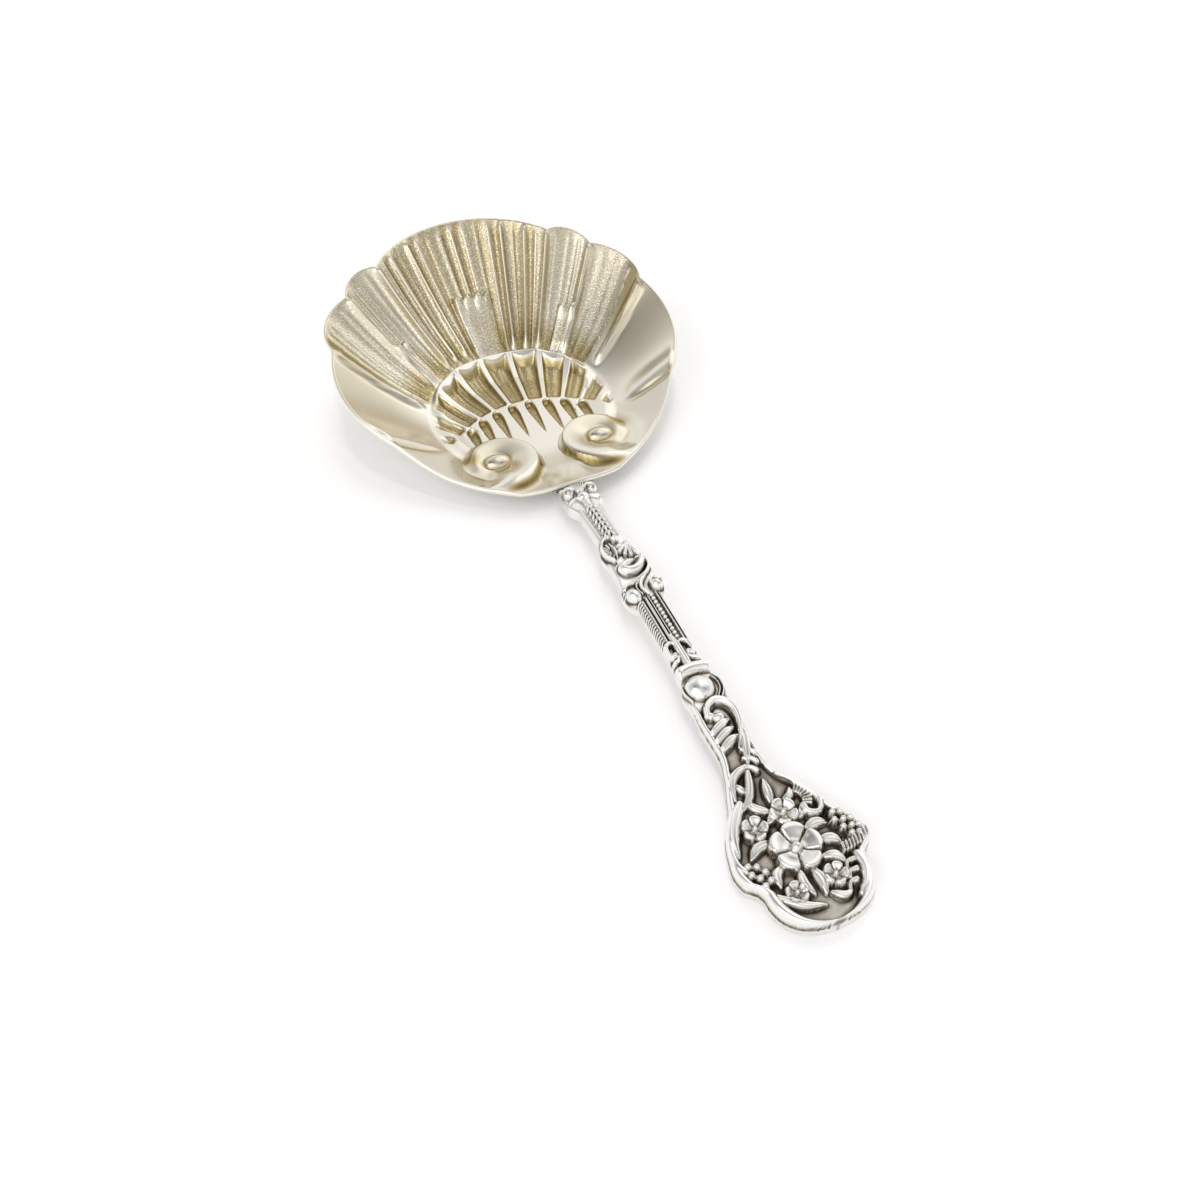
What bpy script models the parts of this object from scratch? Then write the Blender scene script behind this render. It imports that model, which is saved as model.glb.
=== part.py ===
"""A bonbon spoon: a stamped shell bowl soldered over the tongue of a struck silver handle.

+X is to the right, +Y runs from the handle's end to the bowl's far lip, and +Z is up. The spoon lies
on a table at Z = 0, on the flat foot under its bowl and on the pad under its handle's end. Lengths are
in millimetres and angles in degrees until a mesh is made. The bowl is drawn about the centre of its
rays, with Y towards the far lip. The handle is drawn along its length from the bowl's heel.
"""

from typing import NamedTuple

import bmesh
import bpy
import numpy as np
from mathutils import Vector

MM = 0.001


class Notch(NamedTuple):
    """A cusp of the lip, with the bulge of the lobe that starts there and runs on towards the heel."""

    angle: float
    radius: float
    height: float
    bulge: float


class Edge(NamedTuple):
    """A place along the handle with its reach to the left and to the right there."""

    at: float
    left: float
    right: float


class Bump(NamedTuple):
    """A rounded lump of the handle's relief, turned about the vertical."""

    at: float
    side: float
    half_length: float
    half_width: float
    rise: float
    turn: float = 0.0


# Bowl
HALF_TURN = 180.0
BOWL_SHEET = 1.1
LIP_SHEET = 0.75
FAR_REACH = 35.1
FAR_HEIGHT = 17.6
SIDE_REACH = 29.6
HEEL_REACH = 20.6
HEEL_HEIGHT = 4.2
FOOT_RADIUS = 9.5
BOWL_CURVE = 1.55
NOTCHES = (
    Notch(29.0, 0.878 * FAR_REACH, 0.985 * FAR_HEIGHT, 1.9),
    Notch(42.5, 1.058 * SIDE_REACH, 0.88 * FAR_HEIGHT, 2.3),
    Notch(62.6, SIDE_REACH, 0.735 * FAR_HEIGHT, 2.8),
    Notch(104.3, 0.804 * SIDE_REACH, 0.455 * FAR_HEIGHT, 1.3),
    Notch(157.5, 1.02 * HEEL_REACH, 0.857 * HEEL_HEIGHT, 0.0),
)
PETAL_DIP_ANGLE = 130.0
PETAL_DIP_HEIGHT = 1.07 * HEEL_HEIGHT

# Flutes of the wall, each row from one angle to another, and the short lobes that stand before them
FLUTES_END = 51.0
FLUTED = (
    (0.0, NOTCHES[0].angle, 8),
    (NOTCHES[0].angle, NOTCHES[1].angle, 4),
    (NOTCHES[1].angle, FLUTES_END, 3),
)
FLUTE_DEPTH = 0.5
FLUTE_RUN = 3.0
FLUTE_FADE = 0.1
SHORT_LOBES = ((0.0, 8.8, 0.71 * FAR_REACH), (39.6, 4.4, 0.64 * FAR_REACH), (-39.6, 4.4, 0.64 * FAR_REACH))
SHORT_LOBE_RISE = 0.8
SHORT_LOBE_END = 1.6

# Fan stamped into the bowl's floor
FAN_RADIUS = 15.4
FAN_RISE = 0.9
FAN_BORDER = 1.9
FAN_CORNER = 0.5
FAN_EDGE = 0.8
FAN_SIDE_EDGE = 3.2
FAN_SIDE_FROM = 45.0
FAN_SIDE_RUN = 35.0
FAN_HALF_ANGLE = 61.0
FAN_SIDE = 14.0
HUB_OFFSET = 12.5
POCKET_PITCH = 10.7
POCKETS_A_SIDE = 5
POCKET_WIDTH = 7.2
POCKET_START = 15.6
POCKET_DEPTH = 0.75
POCKET_WALL = 0.7
INNER_POCKETS_A_SIDE = 4
INNER_POCKET_LENGTH = 8.0
INNER_POCKET_HALF_WIDTH = 0.85
RIB_BAND = 1.2
STEM_HALF_WIDTH = 2.6
STEM_EDGE = 1.5
STEM_FADE = 6.0

# Volutes beside the stem: crest radius, crest height and flank width at turns wound in from the tail
VOLUTE_SIDE = 8.45
VOLUTE_BACK = 10.55
VOLUTE_TAIL = 42.0
VOLUTE_MARKS = (0.0, 25.0, 55.0, 90.0, 126.0, 175.0, 228.0, 307.0, 360.0)
VOLUTE_RADII = (6.7, 6.15, 6.12, 6.05, 5.9, 5.1, 4.4, 3.2, 2.6)
VOLUTE_CRESTS = (4.4, 4.4, 4.3, 4.1, 3.85, 3.6, 3.5, 3.45, 3.4)
VOLUTE_FLANKS = (1.2, 1.7, 2.0, 1.2, 0.8, 0.7, 0.9, 1.6, 2.0)
FLANK_START = 25.0
DISH_START = 85.0
EYE_RADIUS = 2.05
EYE_LEVEL = 3.4
EYE_RISE = 0.75

# Handle
HANDLE_LENGTH = 76.0
SHAFT_HALF_WIDTH = 1.9
SHOULDER_HALF_WIDTH = 2.7
SHOULDER_AT = 4.4
SHOULDER_RUN = 2.2
SHAFT_AT = 13.8
SHAFT_BACK = 2.3
SHAFT_PLATE = 2.2
NECK_AT = 44.8
NECK_BACK = 1.7
END_RUN = 9.4
CARTOUCHE_WIDEST = HANDLE_LENGTH - END_RUN
CARTOUCHE_LEFT = 8.05
CARTOUCHE_RIGHT = 9.05
CARTOUCHE_PLATE = 1.5
NOTCH_AT = HANDLE_LENGTH - 0.574 * END_RUN
END_LEFT = 6.2
END_RIGHT = 7.05
END_POWER = 2.3
PAD_AT = CARTOUCHE_WIDEST - 2.8
BORDER_FROM = NECK_AT + 1.0
BORDER_WIDTH = 1.7
BORDER_RISE = 1.1
EDGE_ROUND = 0.5
BACK_BEVEL = 0.5
CAPITAL_AT = 2.4
ROPE_RADIUS = 0.75
ROPE_FROM = 5.0
ROPE_TO = 13.4
KNOT_AT = 20.2
KNOT_RUN = 7.0
REED_COUNT = 5
REED_RISE = 0.4
REEDS_FROM = 26.2
REEDS_TO = 34.6
HUSK_AT = 36.2
COLLAR_AT = 39.3
COLLAR_HALF_LENGTH = 0.85
COLLAR_RISE = 0.95
BOSS_AT = 42.35
BOSS_HALF_LENGTH = 2.0
BOSS_RISE = 1.5
LEAVES_OFFSET = 6.0
LEAVES_AT = NECK_AT + LEAVES_OFFSET
ROSETTE_AT = CARTOUCHE_WIDEST - 0.2
ROSETTE_RADIUS = 3.0
ROSETTE_PETALS = 8
ROSETTE_RISE = 1.3
BLOSSOM_RADIUS = 1.6
BLOSSOM_RISE = 1.5
BLOSSOM_INSET = BLOSSOM_RADIUS + 0.4
PALMETTE_AT = HANDLE_LENGTH - 3.8
DOME = 0.75

# Joint between bowl and handle
TONGUE_REACH = 5.5
TONGUE_HALF_WIDTH = 2.7
TONGUE_ROOT = 1.4
TONGUE_TIP = 0.6
SEAM_THICKNESS = 0.25
SEAM_FILLET = 0.6
SEAM_END = 0.3
JOINT_GAP = 0.12
HEEL_GAP = 0.35
STEP_RUN = 0.2

NECK_RUN = CARTOUCHE_WIDEST - NECK_AT
OUTLINE = (
    Edge(0.0, SHOULDER_HALF_WIDTH, SHOULDER_HALF_WIDTH),
    Edge(SHOULDER_AT, SHOULDER_HALF_WIDTH, SHOULDER_HALF_WIDTH),
    Edge(SHOULDER_AT + SHOULDER_RUN, SHAFT_HALF_WIDTH, SHAFT_HALF_WIDTH),
    Edge(KNOT_AT - KNOT_RUN, SHAFT_HALF_WIDTH, SHAFT_HALF_WIDTH),
    Edge(KNOT_AT - 4.0, 2.55, 1.95),
    Edge(KNOT_AT - 1.8, 2.25, 2.4),
    Edge(KNOT_AT + 0.2, 2.3, 2.9),
    Edge(KNOT_AT + 2.2, 2.6, 2.85),
    Edge(KNOT_AT + 4.4, 2.95, 2.95),
    Edge(REEDS_FROM, 2.6, 2.2),
    Edge(REEDS_FROM + 1.0, SHAFT_HALF_WIDTH, SHAFT_HALF_WIDTH),
    Edge(HUSK_AT - 1.0, SHAFT_HALF_WIDTH, SHAFT_HALF_WIDTH),
    Edge(COLLAR_AT, 2.2, 2.2),
    Edge(COLLAR_AT + 1.3, 2.1, 2.1),
    Edge(BOSS_AT, 2.8, 2.8),
    Edge(BOSS_AT + BOSS_HALF_LENGTH, 2.6, 2.6),
    Edge(NECK_AT + 0.12 * NECK_RUN, 2.8, 2.5),
    Edge(NECK_AT + 0.33 * NECK_RUN, 2.6, 2.3),
    Edge(NECK_AT + 0.47 * NECK_RUN, 3.3, 2.6),
    Edge(NECK_AT + 0.56 * NECK_RUN, 4.1, 3.5),
    Edge(NECK_AT + 0.65 * NECK_RUN, 4.9, 5.4),
    Edge(NECK_AT + 0.79 * NECK_RUN, 6.8, 6.9),
    Edge(NECK_AT + 0.895 * NECK_RUN, 7.6, 8.1),
    Edge(CARTOUCHE_WIDEST, CARTOUCHE_LEFT, CARTOUCHE_RIGHT),
    Edge(NOTCH_AT - 2.4, CARTOUCHE_LEFT - 0.3, CARTOUCHE_RIGHT - 0.3),
    Edge(NOTCH_AT - 1.0, END_LEFT + 0.2, END_RIGHT + 0.2),
    Edge(NOTCH_AT, END_LEFT, END_RIGHT),
)

BUMPS = (
    # Shell, curls and bell of the capital
    Bump(CAPITAL_AT - 0.8, 0.0, 1.0, 1.1, 0.8),
    Bump(CAPITAL_AT - 0.2, 1.8, 0.95, 0.8, 0.85),
    Bump(CAPITAL_AT - 0.2, -1.8, 0.95, 0.8, 0.85),
    Bump(CAPITAL_AT + 1.2, 0.0, 1.2, 1.0, 1.05),
    # Scrolls of the knot
    Bump(KNOT_AT - 5.8, 0.0, 0.7, 0.65, 1.2),
    Bump(KNOT_AT - 4.0, -1.7, 2.1, 0.6, 1.1),
    Bump(KNOT_AT - 3.4, 0.8, 1.2, 1.0, 0.95),
    Bump(KNOT_AT - 0.2, -0.9, 1.3, 0.9, 1.2),
    Bump(KNOT_AT, 0.7, 2.1, 0.85, 1.3, -65.0),
    Bump(KNOT_AT + 2.1, 0.1, 2.7, 0.6, 1.0, -58.0),
    Bump(KNOT_AT + 4.0, 0.0, 1.7, 0.55, 0.8),
    Bump(KNOT_AT + 4.3, 1.95, 1.1, 0.95, 1.3),
    Bump(KNOT_AT + 5.0, -1.75, 1.4, 1.05, 1.3),
    # Husk above the collar
    Bump(HUSK_AT - 0.2, 0.0, 2.3, 0.6, 0.95),
    Bump(HUSK_AT - 0.6, 1.2, 1.3, 0.6, 0.8, 20.0),
    Bump(HUSK_AT - 0.6, -1.2, 1.3, 0.6, 0.8, -20.0),
    Bump(HUSK_AT + 1.4, 1.2, 0.7, 0.6, 0.95),
    Bump(HUSK_AT + 1.4, -1.2, 0.7, 0.6, 0.95),
    # Oval boss
    Bump(BOSS_AT, 0.0, BOSS_HALF_LENGTH, 1.85, BOSS_RISE),
    # Leaves of the terminal's neck
    Bump(LEAVES_AT - 4.8, 0.5, 0.8, 1.6, 1.2),
    Bump(LEAVES_AT - 3.2, 1.8, 2.0, 0.6, 1.2),
    Bump(LEAVES_AT - 4.2, -1.0, 1.2, 0.7, 1.0, -55.0),
    Bump(LEAVES_AT - 2.4, -1.0, 1.2, 0.7, 1.0, -55.0),
    Bump(LEAVES_AT - 0.4, 0.0, 2.3, 0.65, 1.1, -50.0),
    Bump(LEAVES_AT + 1.8, 0.4, 3.2, 0.7, 1.1, -24.0),
    Bump(LEAVES_AT + 5.8, -2.4, 2.2, 0.9, 0.95, -42.0),
    # Scrolls inside the cartouche
    Bump(CARTOUCHE_WIDEST - 6.4, 3.7, 2.6, 0.9, 1.1, 32.0),
    Bump(CARTOUCHE_WIDEST - 6.4, -3.7, 2.6, 0.9, 1.1, -32.0),
    Bump(CARTOUCHE_WIDEST - 3.2, 4.6, 0.8, 1.7, 1.0),
    Bump(CARTOUCHE_WIDEST - 3.2, -4.6, 0.8, 1.7, 1.0),
    # Blossoms at the terminal's widest
    Bump(CARTOUCHE_WIDEST - 0.8, CARTOUCHE_RIGHT - BLOSSOM_INSET, BLOSSOM_RADIUS, BLOSSOM_RADIUS, BLOSSOM_RISE),
    Bump(CARTOUCHE_WIDEST - 0.8, BLOSSOM_INSET - CARTOUCHE_LEFT, BLOSSOM_RADIUS, BLOSSOM_RADIUS, BLOSSOM_RISE),
    # Palmette at the end
    Bump(PALMETTE_AT, 0.0, 1.9, 0.8, 1.0),
    Bump(PALMETTE_AT - 0.5, 1.5, 1.8, 0.75, 1.0, 30.0),
    Bump(PALMETTE_AT - 0.5, -1.5, 1.8, 0.75, 1.0, -30.0),
    Bump(PALMETTE_AT - 1.3, 2.4, 1.7, 0.7, 0.9, 62.0),
    Bump(PALMETTE_AT - 1.3, -2.4, 1.7, 0.7, 0.9, -62.0),
)

# Places that follow from the sizes above
OVERALL_LENGTH = FAR_REACH + HEEL_REACH + HANDLE_LENGTH
BOWL_Y = OVERALL_LENGTH / 2 - FAR_REACH
HEEL_Y = BOWL_Y - HEEL_REACH

# Mesh steps
STEPS_A_FLUTE = 2
PLAIN_STEPS = (4, 8, 21, 5)
FLOOR_RINGS = 20
WALL_RINGS = 8
UNDER_RINGS = 6
TOP_POINTS = 25


def smooth_step(value):
    """0 below 0, 1 above 1, and an S-shaped rise between them."""
    t = np.clip(value, 0.0, 1.0)
    return t * t * (3.0 - 2.0 * t)


def smooth_curve(at, places, values):
    """A smooth curve through the given points that never overshoots them."""
    x = np.asarray(places, float)
    y = np.asarray(values, float)
    gaps = np.diff(x)
    slopes = np.diff(y) / gaps
    products = slopes[:-1] * slopes[1:]
    means = np.where(products > 0, 2 * products / np.where(products > 0, slopes[:-1] + slopes[1:], 1), 0)
    tangents = np.concatenate(([0.0], means, [0.0]))
    at = np.clip(at, x[0], x[-1])
    i = np.clip(np.searchsorted(x, at, side="right") - 1, 0, len(gaps) - 1)
    t = (at - x[i]) / gaps[i]
    rise = y[i] + (y[i + 1] - y[i]) * t * t * (3 - 2 * t)
    return rise + gaps[i] * t * (1 - t) * ((1 - t) * tangents[i] - t * tangents[i + 1])


def on_lip(notch):
    """A notch's place in plan."""
    angle = np.radians(notch.angle)
    return np.array((np.sin(angle), np.cos(angle))) * notch.radius


def arc_through(first, last, bulge):
    """The centre and radius of the arc from first to last that bulges out of their chord."""
    chord = last - first
    half = np.hypot(*chord) / 2
    radius = (half**2 + bulge**2) / (2 * bulge)
    outward = np.array((-chord[1], chord[0])) / (2 * half)
    return (first + last) / 2 + outward * (bulge - radius), radius


def lip_lobes():
    """The right half's lobes as (last angle, arc centre, arc radius), from the far lip to the heel."""
    mirror = np.array((-1.0, 1.0))
    corner = on_lip(NOTCHES[0])
    heel_corner = on_lip(NOTCHES[-1])
    lobes = [(NOTCHES[0].angle, *arc_through(corner * mirror, corner, FAR_REACH - corner[1]))]
    for start, end in zip(NOTCHES, NOTCHES[1:]):
        lobes.append((end.angle, *arc_through(on_lip(start), on_lip(end), start.bulge)))
    lobes.append((HALF_TURN, *arc_through(heel_corner, heel_corner * mirror, HEEL_REACH + heel_corner[1])))
    return lobes


LOBES = lip_lobes()


def lip_radius(angle):
    """The lip's distance from the ray centre, where a ray at that angle meets its lobe's arc."""
    angle = np.abs(angle)
    ray = np.stack((np.sin(np.radians(angle)), np.cos(np.radians(angle))))
    radius = np.zeros_like(angle)
    start = -1.0
    for last, centre, size in LOBES:
        along = ray[0] * centre[0] + ray[1] * centre[1]
        reach = along + np.sqrt(np.maximum(along**2 - centre @ centre + size**2, 0.0))
        radius = np.where((angle > start) & (angle <= last + 1e-6), reach, radius)
        start = last
    return radius


def lip_height(angle):
    """The lip's height, high at the far lip and low along the petals beside the heel."""
    marks = [(0.0, FAR_HEIGHT)]
    marks += [(notch.angle, notch.height) for notch in NOTCHES]
    marks += [(PETAL_DIP_ANGLE, PETAL_DIP_HEIGHT), (HALF_TURN, HEEL_HEIGHT)]
    return smooth_curve(np.abs(angle), *zip(*sorted(marks)))


def bowl_polar(x, y):
    """Angle from the far lip and distance from the ray centre."""
    return np.degrees(np.arctan2(x, y)), np.hypot(x, y)


def wall_share(x, y):
    """0 on the foot, 1 at the lip."""
    angle, radius = bowl_polar(x, y)
    return np.maximum(radius - FOOT_RADIUS, 0.0) / (lip_radius(angle) - FOOT_RADIUS)


def bowl_base(x, y):
    """Height of the bowl's inside before it is embossed: a flat floor that curves up to the lip."""
    angle, _ = bowl_polar(x, y)
    return BOWL_SHEET + (lip_height(angle) - BOWL_SHEET) * wall_share(x, y) ** BOWL_CURVE


def bowl_underside(x, y):
    """Height of the bowl's back, one sheet below its inside, measured square to the wall."""
    angle, _ = bowl_polar(x, y)
    share = wall_share(x, y)
    run = lip_radius(angle) - FOOT_RADIUS
    slope = (lip_height(angle) - BOWL_SHEET) * BOWL_CURVE * share ** (BOWL_CURVE - 1) / run
    sheet = BOWL_SHEET + (LIP_SHEET - BOWL_SHEET) * share
    return bowl_base(x, y) - sheet * np.sqrt(1 + slope**2)


def flute_relief(x, y):
    """Channels that fan out from the floor to the lip with ridges between them, and short lobes that stand
    up in front of them."""
    angle, radius = bowl_polar(x, y)
    fade = smooth_step((radius - FAN_RADIUS) / FLUTE_RUN)
    fade *= smooth_step((1 - wall_share(x, y)) / FLUTE_FADE)
    relief = np.zeros_like(radius)
    for start, end, count in FLUTED:
        share = (np.abs(angle) - start) / (end - start)
        wave = FLUTE_DEPTH / 2 * np.cos(2 * np.pi * count * share)
        relief = np.where((share >= 0) & (share <= 1), wave, relief)
    for middle, half_angle, reach in SHORT_LOBES:
        raised = smooth_step(2 * (1 - np.abs(angle - middle) / half_angle))
        raised *= smooth_step((reach - radius) / SHORT_LOBE_END)
        relief = relief + (SHORT_LOBE_RISE - relief) * raised
    return relief * fade


def pocket_depth(x, y):
    """1 on the floor of a pocket of the fan, 0 on its ribs: an outer row and a row nearer the hub."""
    hub_y = y + HUB_OFFSET
    from_hub = np.hypot(x, hub_y)
    angle = np.degrees(np.arctan2(x, hub_y))
    _, radius = bowl_polar(x, y)
    step = np.clip(np.round(angle / POCKET_PITCH), -POCKETS_A_SIDE, POCKETS_A_SIDE)
    across = np.radians(np.abs(angle - step * POCKET_PITCH)) * from_hub
    half = np.radians(POCKET_WIDTH / 2) * from_hub
    outer = smooth_step((half - across) / POCKET_WALL + 0.5)
    outer *= smooth_step((from_hub - POCKET_START) / POCKET_WALL)
    rim = FAN_RADIUS - FAN_BORDER - FAN_CORNER * np.minimum(across / np.maximum(half, 0.1), 1.0) ** 4
    outer *= smooth_step((rim - radius) / POCKET_WALL)
    start = POCKET_START - RIB_BAND
    inner = np.zeros_like(outer)
    for number in range(INNER_POCKETS_A_SIDE):
        turn = np.radians((number + 0.5) * POCKET_PITCH)
        side, top = start * np.sin(turn), start * np.cos(turn)
        left = (hub_y - (top - INNER_POCKET_LENGTH)) / INNER_POCKET_LENGTH
        width = INNER_POCKET_HALF_WIDTH * np.clip(left, 0.0, 1.0)
        cut = smooth_step((width - np.abs(np.abs(x) - side)) / POCKET_WALL + 0.5)
        cut *= smooth_step((top - hub_y) / POCKET_WALL) * smooth_step(left * 2)
        inner = np.maximum(inner, cut)
    return np.maximum(outer, inner)


def fan_relief(x, y):
    """A raised fan with sunk pockets, running on into the stem between the volutes."""
    hub_y = y + HUB_OFFSET
    angle = np.degrees(np.arctan2(np.abs(x), hub_y))
    turned, radius = bowl_polar(x, y)
    aside = smooth_step((np.abs(turned) - FAN_SIDE_FROM) / FAN_SIDE_RUN)
    fan = smooth_step((FAN_RADIUS - radius) / (FAN_EDGE + (FAN_SIDE_EDGE - FAN_EDGE) * aside))
    fan *= smooth_step((FAN_HALF_ANGLE + FAN_SIDE - angle) / FAN_SIDE)
    stem = smooth_step((STEM_HALF_WIDTH + STEM_EDGE - np.abs(x)) / STEM_EDGE) * (y < 0)
    stem *= smooth_step((1 - wall_share(x, y)) * (HEEL_REACH - FOOT_RADIUS) / STEM_FADE)
    raised = np.maximum(fan, stem) * FAN_RISE
    return raised - np.minimum(raised, POCKET_DEPTH) * pocket_depth(x, y)


def with_volutes(x, y, ground):
    """The ground with a volute on either side of the stem: a crest winds in round a low eye, with a rounded
    flank outside it and a shallow dish, level at the crest, from it down to the eye."""
    dx = np.abs(x) - VOLUTE_SIDE
    dy = y + VOLUTE_BACK
    reach = np.hypot(dx, dy)
    wound = np.mod(VOLUTE_TAIL - np.degrees(np.arctan2(dx, -dy)), 2 * HALF_TURN)
    radius = smooth_curve(wound, VOLUTE_MARKS, VOLUTE_RADII)
    crest = smooth_curve(wound, VOLUTE_MARKS, VOLUTE_CRESTS)
    flank = smooth_curve(wound, VOLUTE_MARKS, VOLUTE_FLANKS)
    base = bowl_base(x, y)
    out = np.clip((reach - radius) / flank, 0.0, 1.0)
    lift = np.maximum(crest - ground, 0.0) * smooth_step(wound / FLANK_START)
    outside = ground + lift * (1 - out**2)
    inwards = np.clip((radius - reach) / (radius - EYE_RADIUS), 0.0, 1.0)
    dish = EYE_LEVEL + (crest - EYE_LEVEL) * (1 - inwards**2)
    off = np.clip((reach - VOLUTE_RADII[-1]) / VOLUTE_FLANKS[-1], 0.0, 1.0)
    mound = base + (EYE_LEVEL - base) * (1 - off**2)
    top = mound + (dish - mound) * smooth_step(wound / DISH_START)
    eye = EYE_RISE * np.maximum(1 - (reach / EYE_RADIUS) ** 2, 0.0) ** DOME
    return np.where(reach < radius, top + eye, outside)


def bowl_inside(x, y):
    """Height of the embossed inside."""
    return with_volutes(x, y, bowl_base(x, y) + flute_relief(x, y) + fan_relief(x, y))


def bowl_back(x, y):
    """Height of the bowl's back, where the flutes show through."""
    return bowl_underside(x, y) + flute_relief(x, y)


def spoke_angles():
    """Angles of the mesh's spokes: a few a flute, and even steps over the plain lobes."""
    rows = [(start, end, count * STEPS_A_FLUTE) for start, end, count in FLUTED]
    ends = [FLUTES_END] + [notch.angle for notch in NOTCHES[2:]] + [HALF_TURN]
    rows += list(zip(ends, ends[1:], PLAIN_STEPS))
    right = np.concatenate([np.linspace(start, end, steps, endpoint=False) for start, end, steps in rows])
    return np.concatenate((-right[:0:-1], right, [HALF_TURN]))


def bowl_rings():
    """Closed rings from the hub out over the inside to the lip, and back under it to the foot's middle."""
    angles = spoke_angles()
    ray = np.stack((np.sin(np.radians(angles)), np.cos(np.radians(angles))))
    hub = np.array(((0.0,), (-HUB_OFFSET,)))
    lip = lip_radius(angles)
    plans = [hub + (ray * FAN_RADIUS - hub) * share for share in np.linspace(0, 1, FLOOR_RINGS + 1)[1:]]
    plans += [ray * (FAN_RADIUS + (lip - FAN_RADIUS) * s) for s in np.linspace(0, 1, WALL_RINGS + 1)[1:]]
    rings = [np.stack((*plan, bowl_inside(*plan)), 1) for plan in plans]
    for share in np.linspace(1, 0, UNDER_RINGS):
        plan = ray * (FOOT_RADIUS + (lip - FOOT_RADIUS) * share)
        rings.append(np.stack((*plan, bowl_back(*plan)), 1))
    middle = np.zeros(1)
    hub_top = np.array((0.0, -HUB_OFFSET, bowl_inside(middle, middle - HUB_OFFSET)[0]))
    return rings, hub_top, np.zeros(3)


def half_widths(along):
    """How far the handle reaches to the left and to the right, with a round end past the last cusp."""
    places, left, right = zip(*OUTLINE)
    past = np.maximum(along - NOTCH_AT, 0.0) / (HANDLE_LENGTH - NOTCH_AT)
    end = np.maximum(1 - past**END_POWER, 0.0) ** (1 / END_POWER)
    return tuple(float(smooth_curve(along, places, widths) * end) for widths in (left, right))


def tongue_half_width(along):
    """Half the tongue's width, rounded at its tip."""
    return TONGUE_HALF_WIDTH * np.sqrt(np.maximum(1 - (np.minimum(along, 0.0) / TONGUE_REACH) ** 2, 0.02))


def under_bowl(x, along):
    """Height of the bowl's back above a point of the handle."""
    return bowl_underside(x, -HEEL_REACH - along * np.ones_like(x))


def tongue_top(x, along):
    """Height of the tongue's top, below the bowl by the solder and a gap on either side of it."""
    return under_bowl(x, along) - SEAM_THICKNESS - 2 * JOINT_GAP


def back_height(along):
    """Height of the handle's back, lifted along the shaft and flat on the table at the end."""
    root = tongue_top(np.zeros(1), 0.0)[0] - TONGUE_ROOT
    places = (0.0, SHAFT_AT, REEDS_FROM, NECK_AT, PAD_AT, HANDLE_LENGTH)
    return smooth_curve(along, places, (root, SHAFT_BACK, SHAFT_BACK, NECK_BACK, 0.0, 0.0))


def ground_height(along):
    """Height of the plain ground that the relief stands on."""
    plate = smooth_curve(along, (0.0, NECK_AT, CARTOUCHE_WIDEST), (SHAFT_PLATE, SHAFT_PLATE, CARTOUCHE_PLATE))
    return back_height(along) + plate


def bump_relief(bump, x, along):
    """Height of one lump, a rounded dome on an oval."""
    turn = np.radians(bump.turn)
    run = along - bump.at
    lateral = x - bump.side
    length = (run * np.cos(turn) + lateral * np.sin(turn)) / bump.half_length
    width = (lateral * np.cos(turn) - run * np.sin(turn)) / bump.half_width
    return bump.rise * np.maximum(1 - length**2 - width**2, 0.0) ** DOME


def rosette_relief(x, along):
    """A flower with rounded petals round a button."""
    run = along - ROSETTE_AT
    share = np.hypot(x, run) / ROSETTE_RADIUS
    petals = 0.8 + 0.2 * np.cos(ROSETTE_PETALS * np.arctan2(x, run))
    flower = ROSETTE_RISE * np.maximum(1 - (share / petals) ** 2, 0.0) ** DOME
    return flower * (1 - 0.35 * np.exp(-((share - 0.35) / 0.1) ** 2))


def handle_relief(x, along):
    """All that stands up from the handle's ground."""
    left, right = half_widths(along)
    edge = np.minimum(x + left, right - x)
    relief = np.zeros_like(x)
    if ROPE_FROM < along < ROPE_TO:
        relief = np.sqrt(np.maximum(ROPE_RADIUS**2 - x**2, 0.0))
    if REEDS_FROM < along < REEDS_TO:
        relief = REED_RISE * np.abs(np.sin(np.pi * REED_COUNT * (x + left) / (left + right)))
    collar = 1 - ((along - COLLAR_AT) / COLLAR_HALF_LENGTH) ** 2
    relief = np.maximum(relief, COLLAR_RISE * np.sqrt(max(collar, 0.0)))
    in_cartouche = smooth_step((along - BORDER_FROM) / NECK_RUN)
    rolled = np.clip(1 - (2 * edge / BORDER_WIDTH - 1) ** 2, 0.0, 1.0)
    relief = np.maximum(relief, BORDER_RISE * in_cartouche * np.sqrt(rolled))
    relief = np.maximum(relief, rosette_relief(x, along))
    for bump in BUMPS:
        relief = np.maximum(relief, bump_relief(bump, x, along))
    return relief


def section(along, left, right, top, back):
    """One cross-section of the handle: its top from left to right, then its sides and bevelled back."""
    bevel = min(BACK_BEVEL, 0.4 * min(left, right))
    top_x = np.linspace(-left, right, TOP_POINTS)
    x = np.concatenate((top_x, (right, right - bevel, 0.0, bevel - left, -left)))
    z = np.concatenate((top, (back + bevel, back, back, back, back + bevel)))
    return np.stack((x, np.full_like(x, -along), z), 1)


def tongue_section(along):
    """A section of the tongue that the bowl is soldered to."""
    half = float(tongue_half_width(along))
    top = tongue_top(np.linspace(-half, half, TOP_POINTS), along)
    share = np.clip(-along / TONGUE_REACH, 0.0, 1.0)
    return section(along, half, half, top, top.min() - TONGUE_ROOT - (TONGUE_TIP - TONGUE_ROOT) * share)


def shaft_section(along):
    """A section of the ornamented handle."""
    left, right = half_widths(along)
    x = np.linspace(-left, right, TOP_POINTS)
    back = float(back_height(along))
    rounding = EDGE_ROUND * (1 - np.sqrt(1 - np.abs(np.linspace(-1, 1, TOP_POINTS)) ** 6))
    top = float(ground_height(along)) + handle_relief(x, along) - rounding
    return section(along, left, right, top, back)


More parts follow.
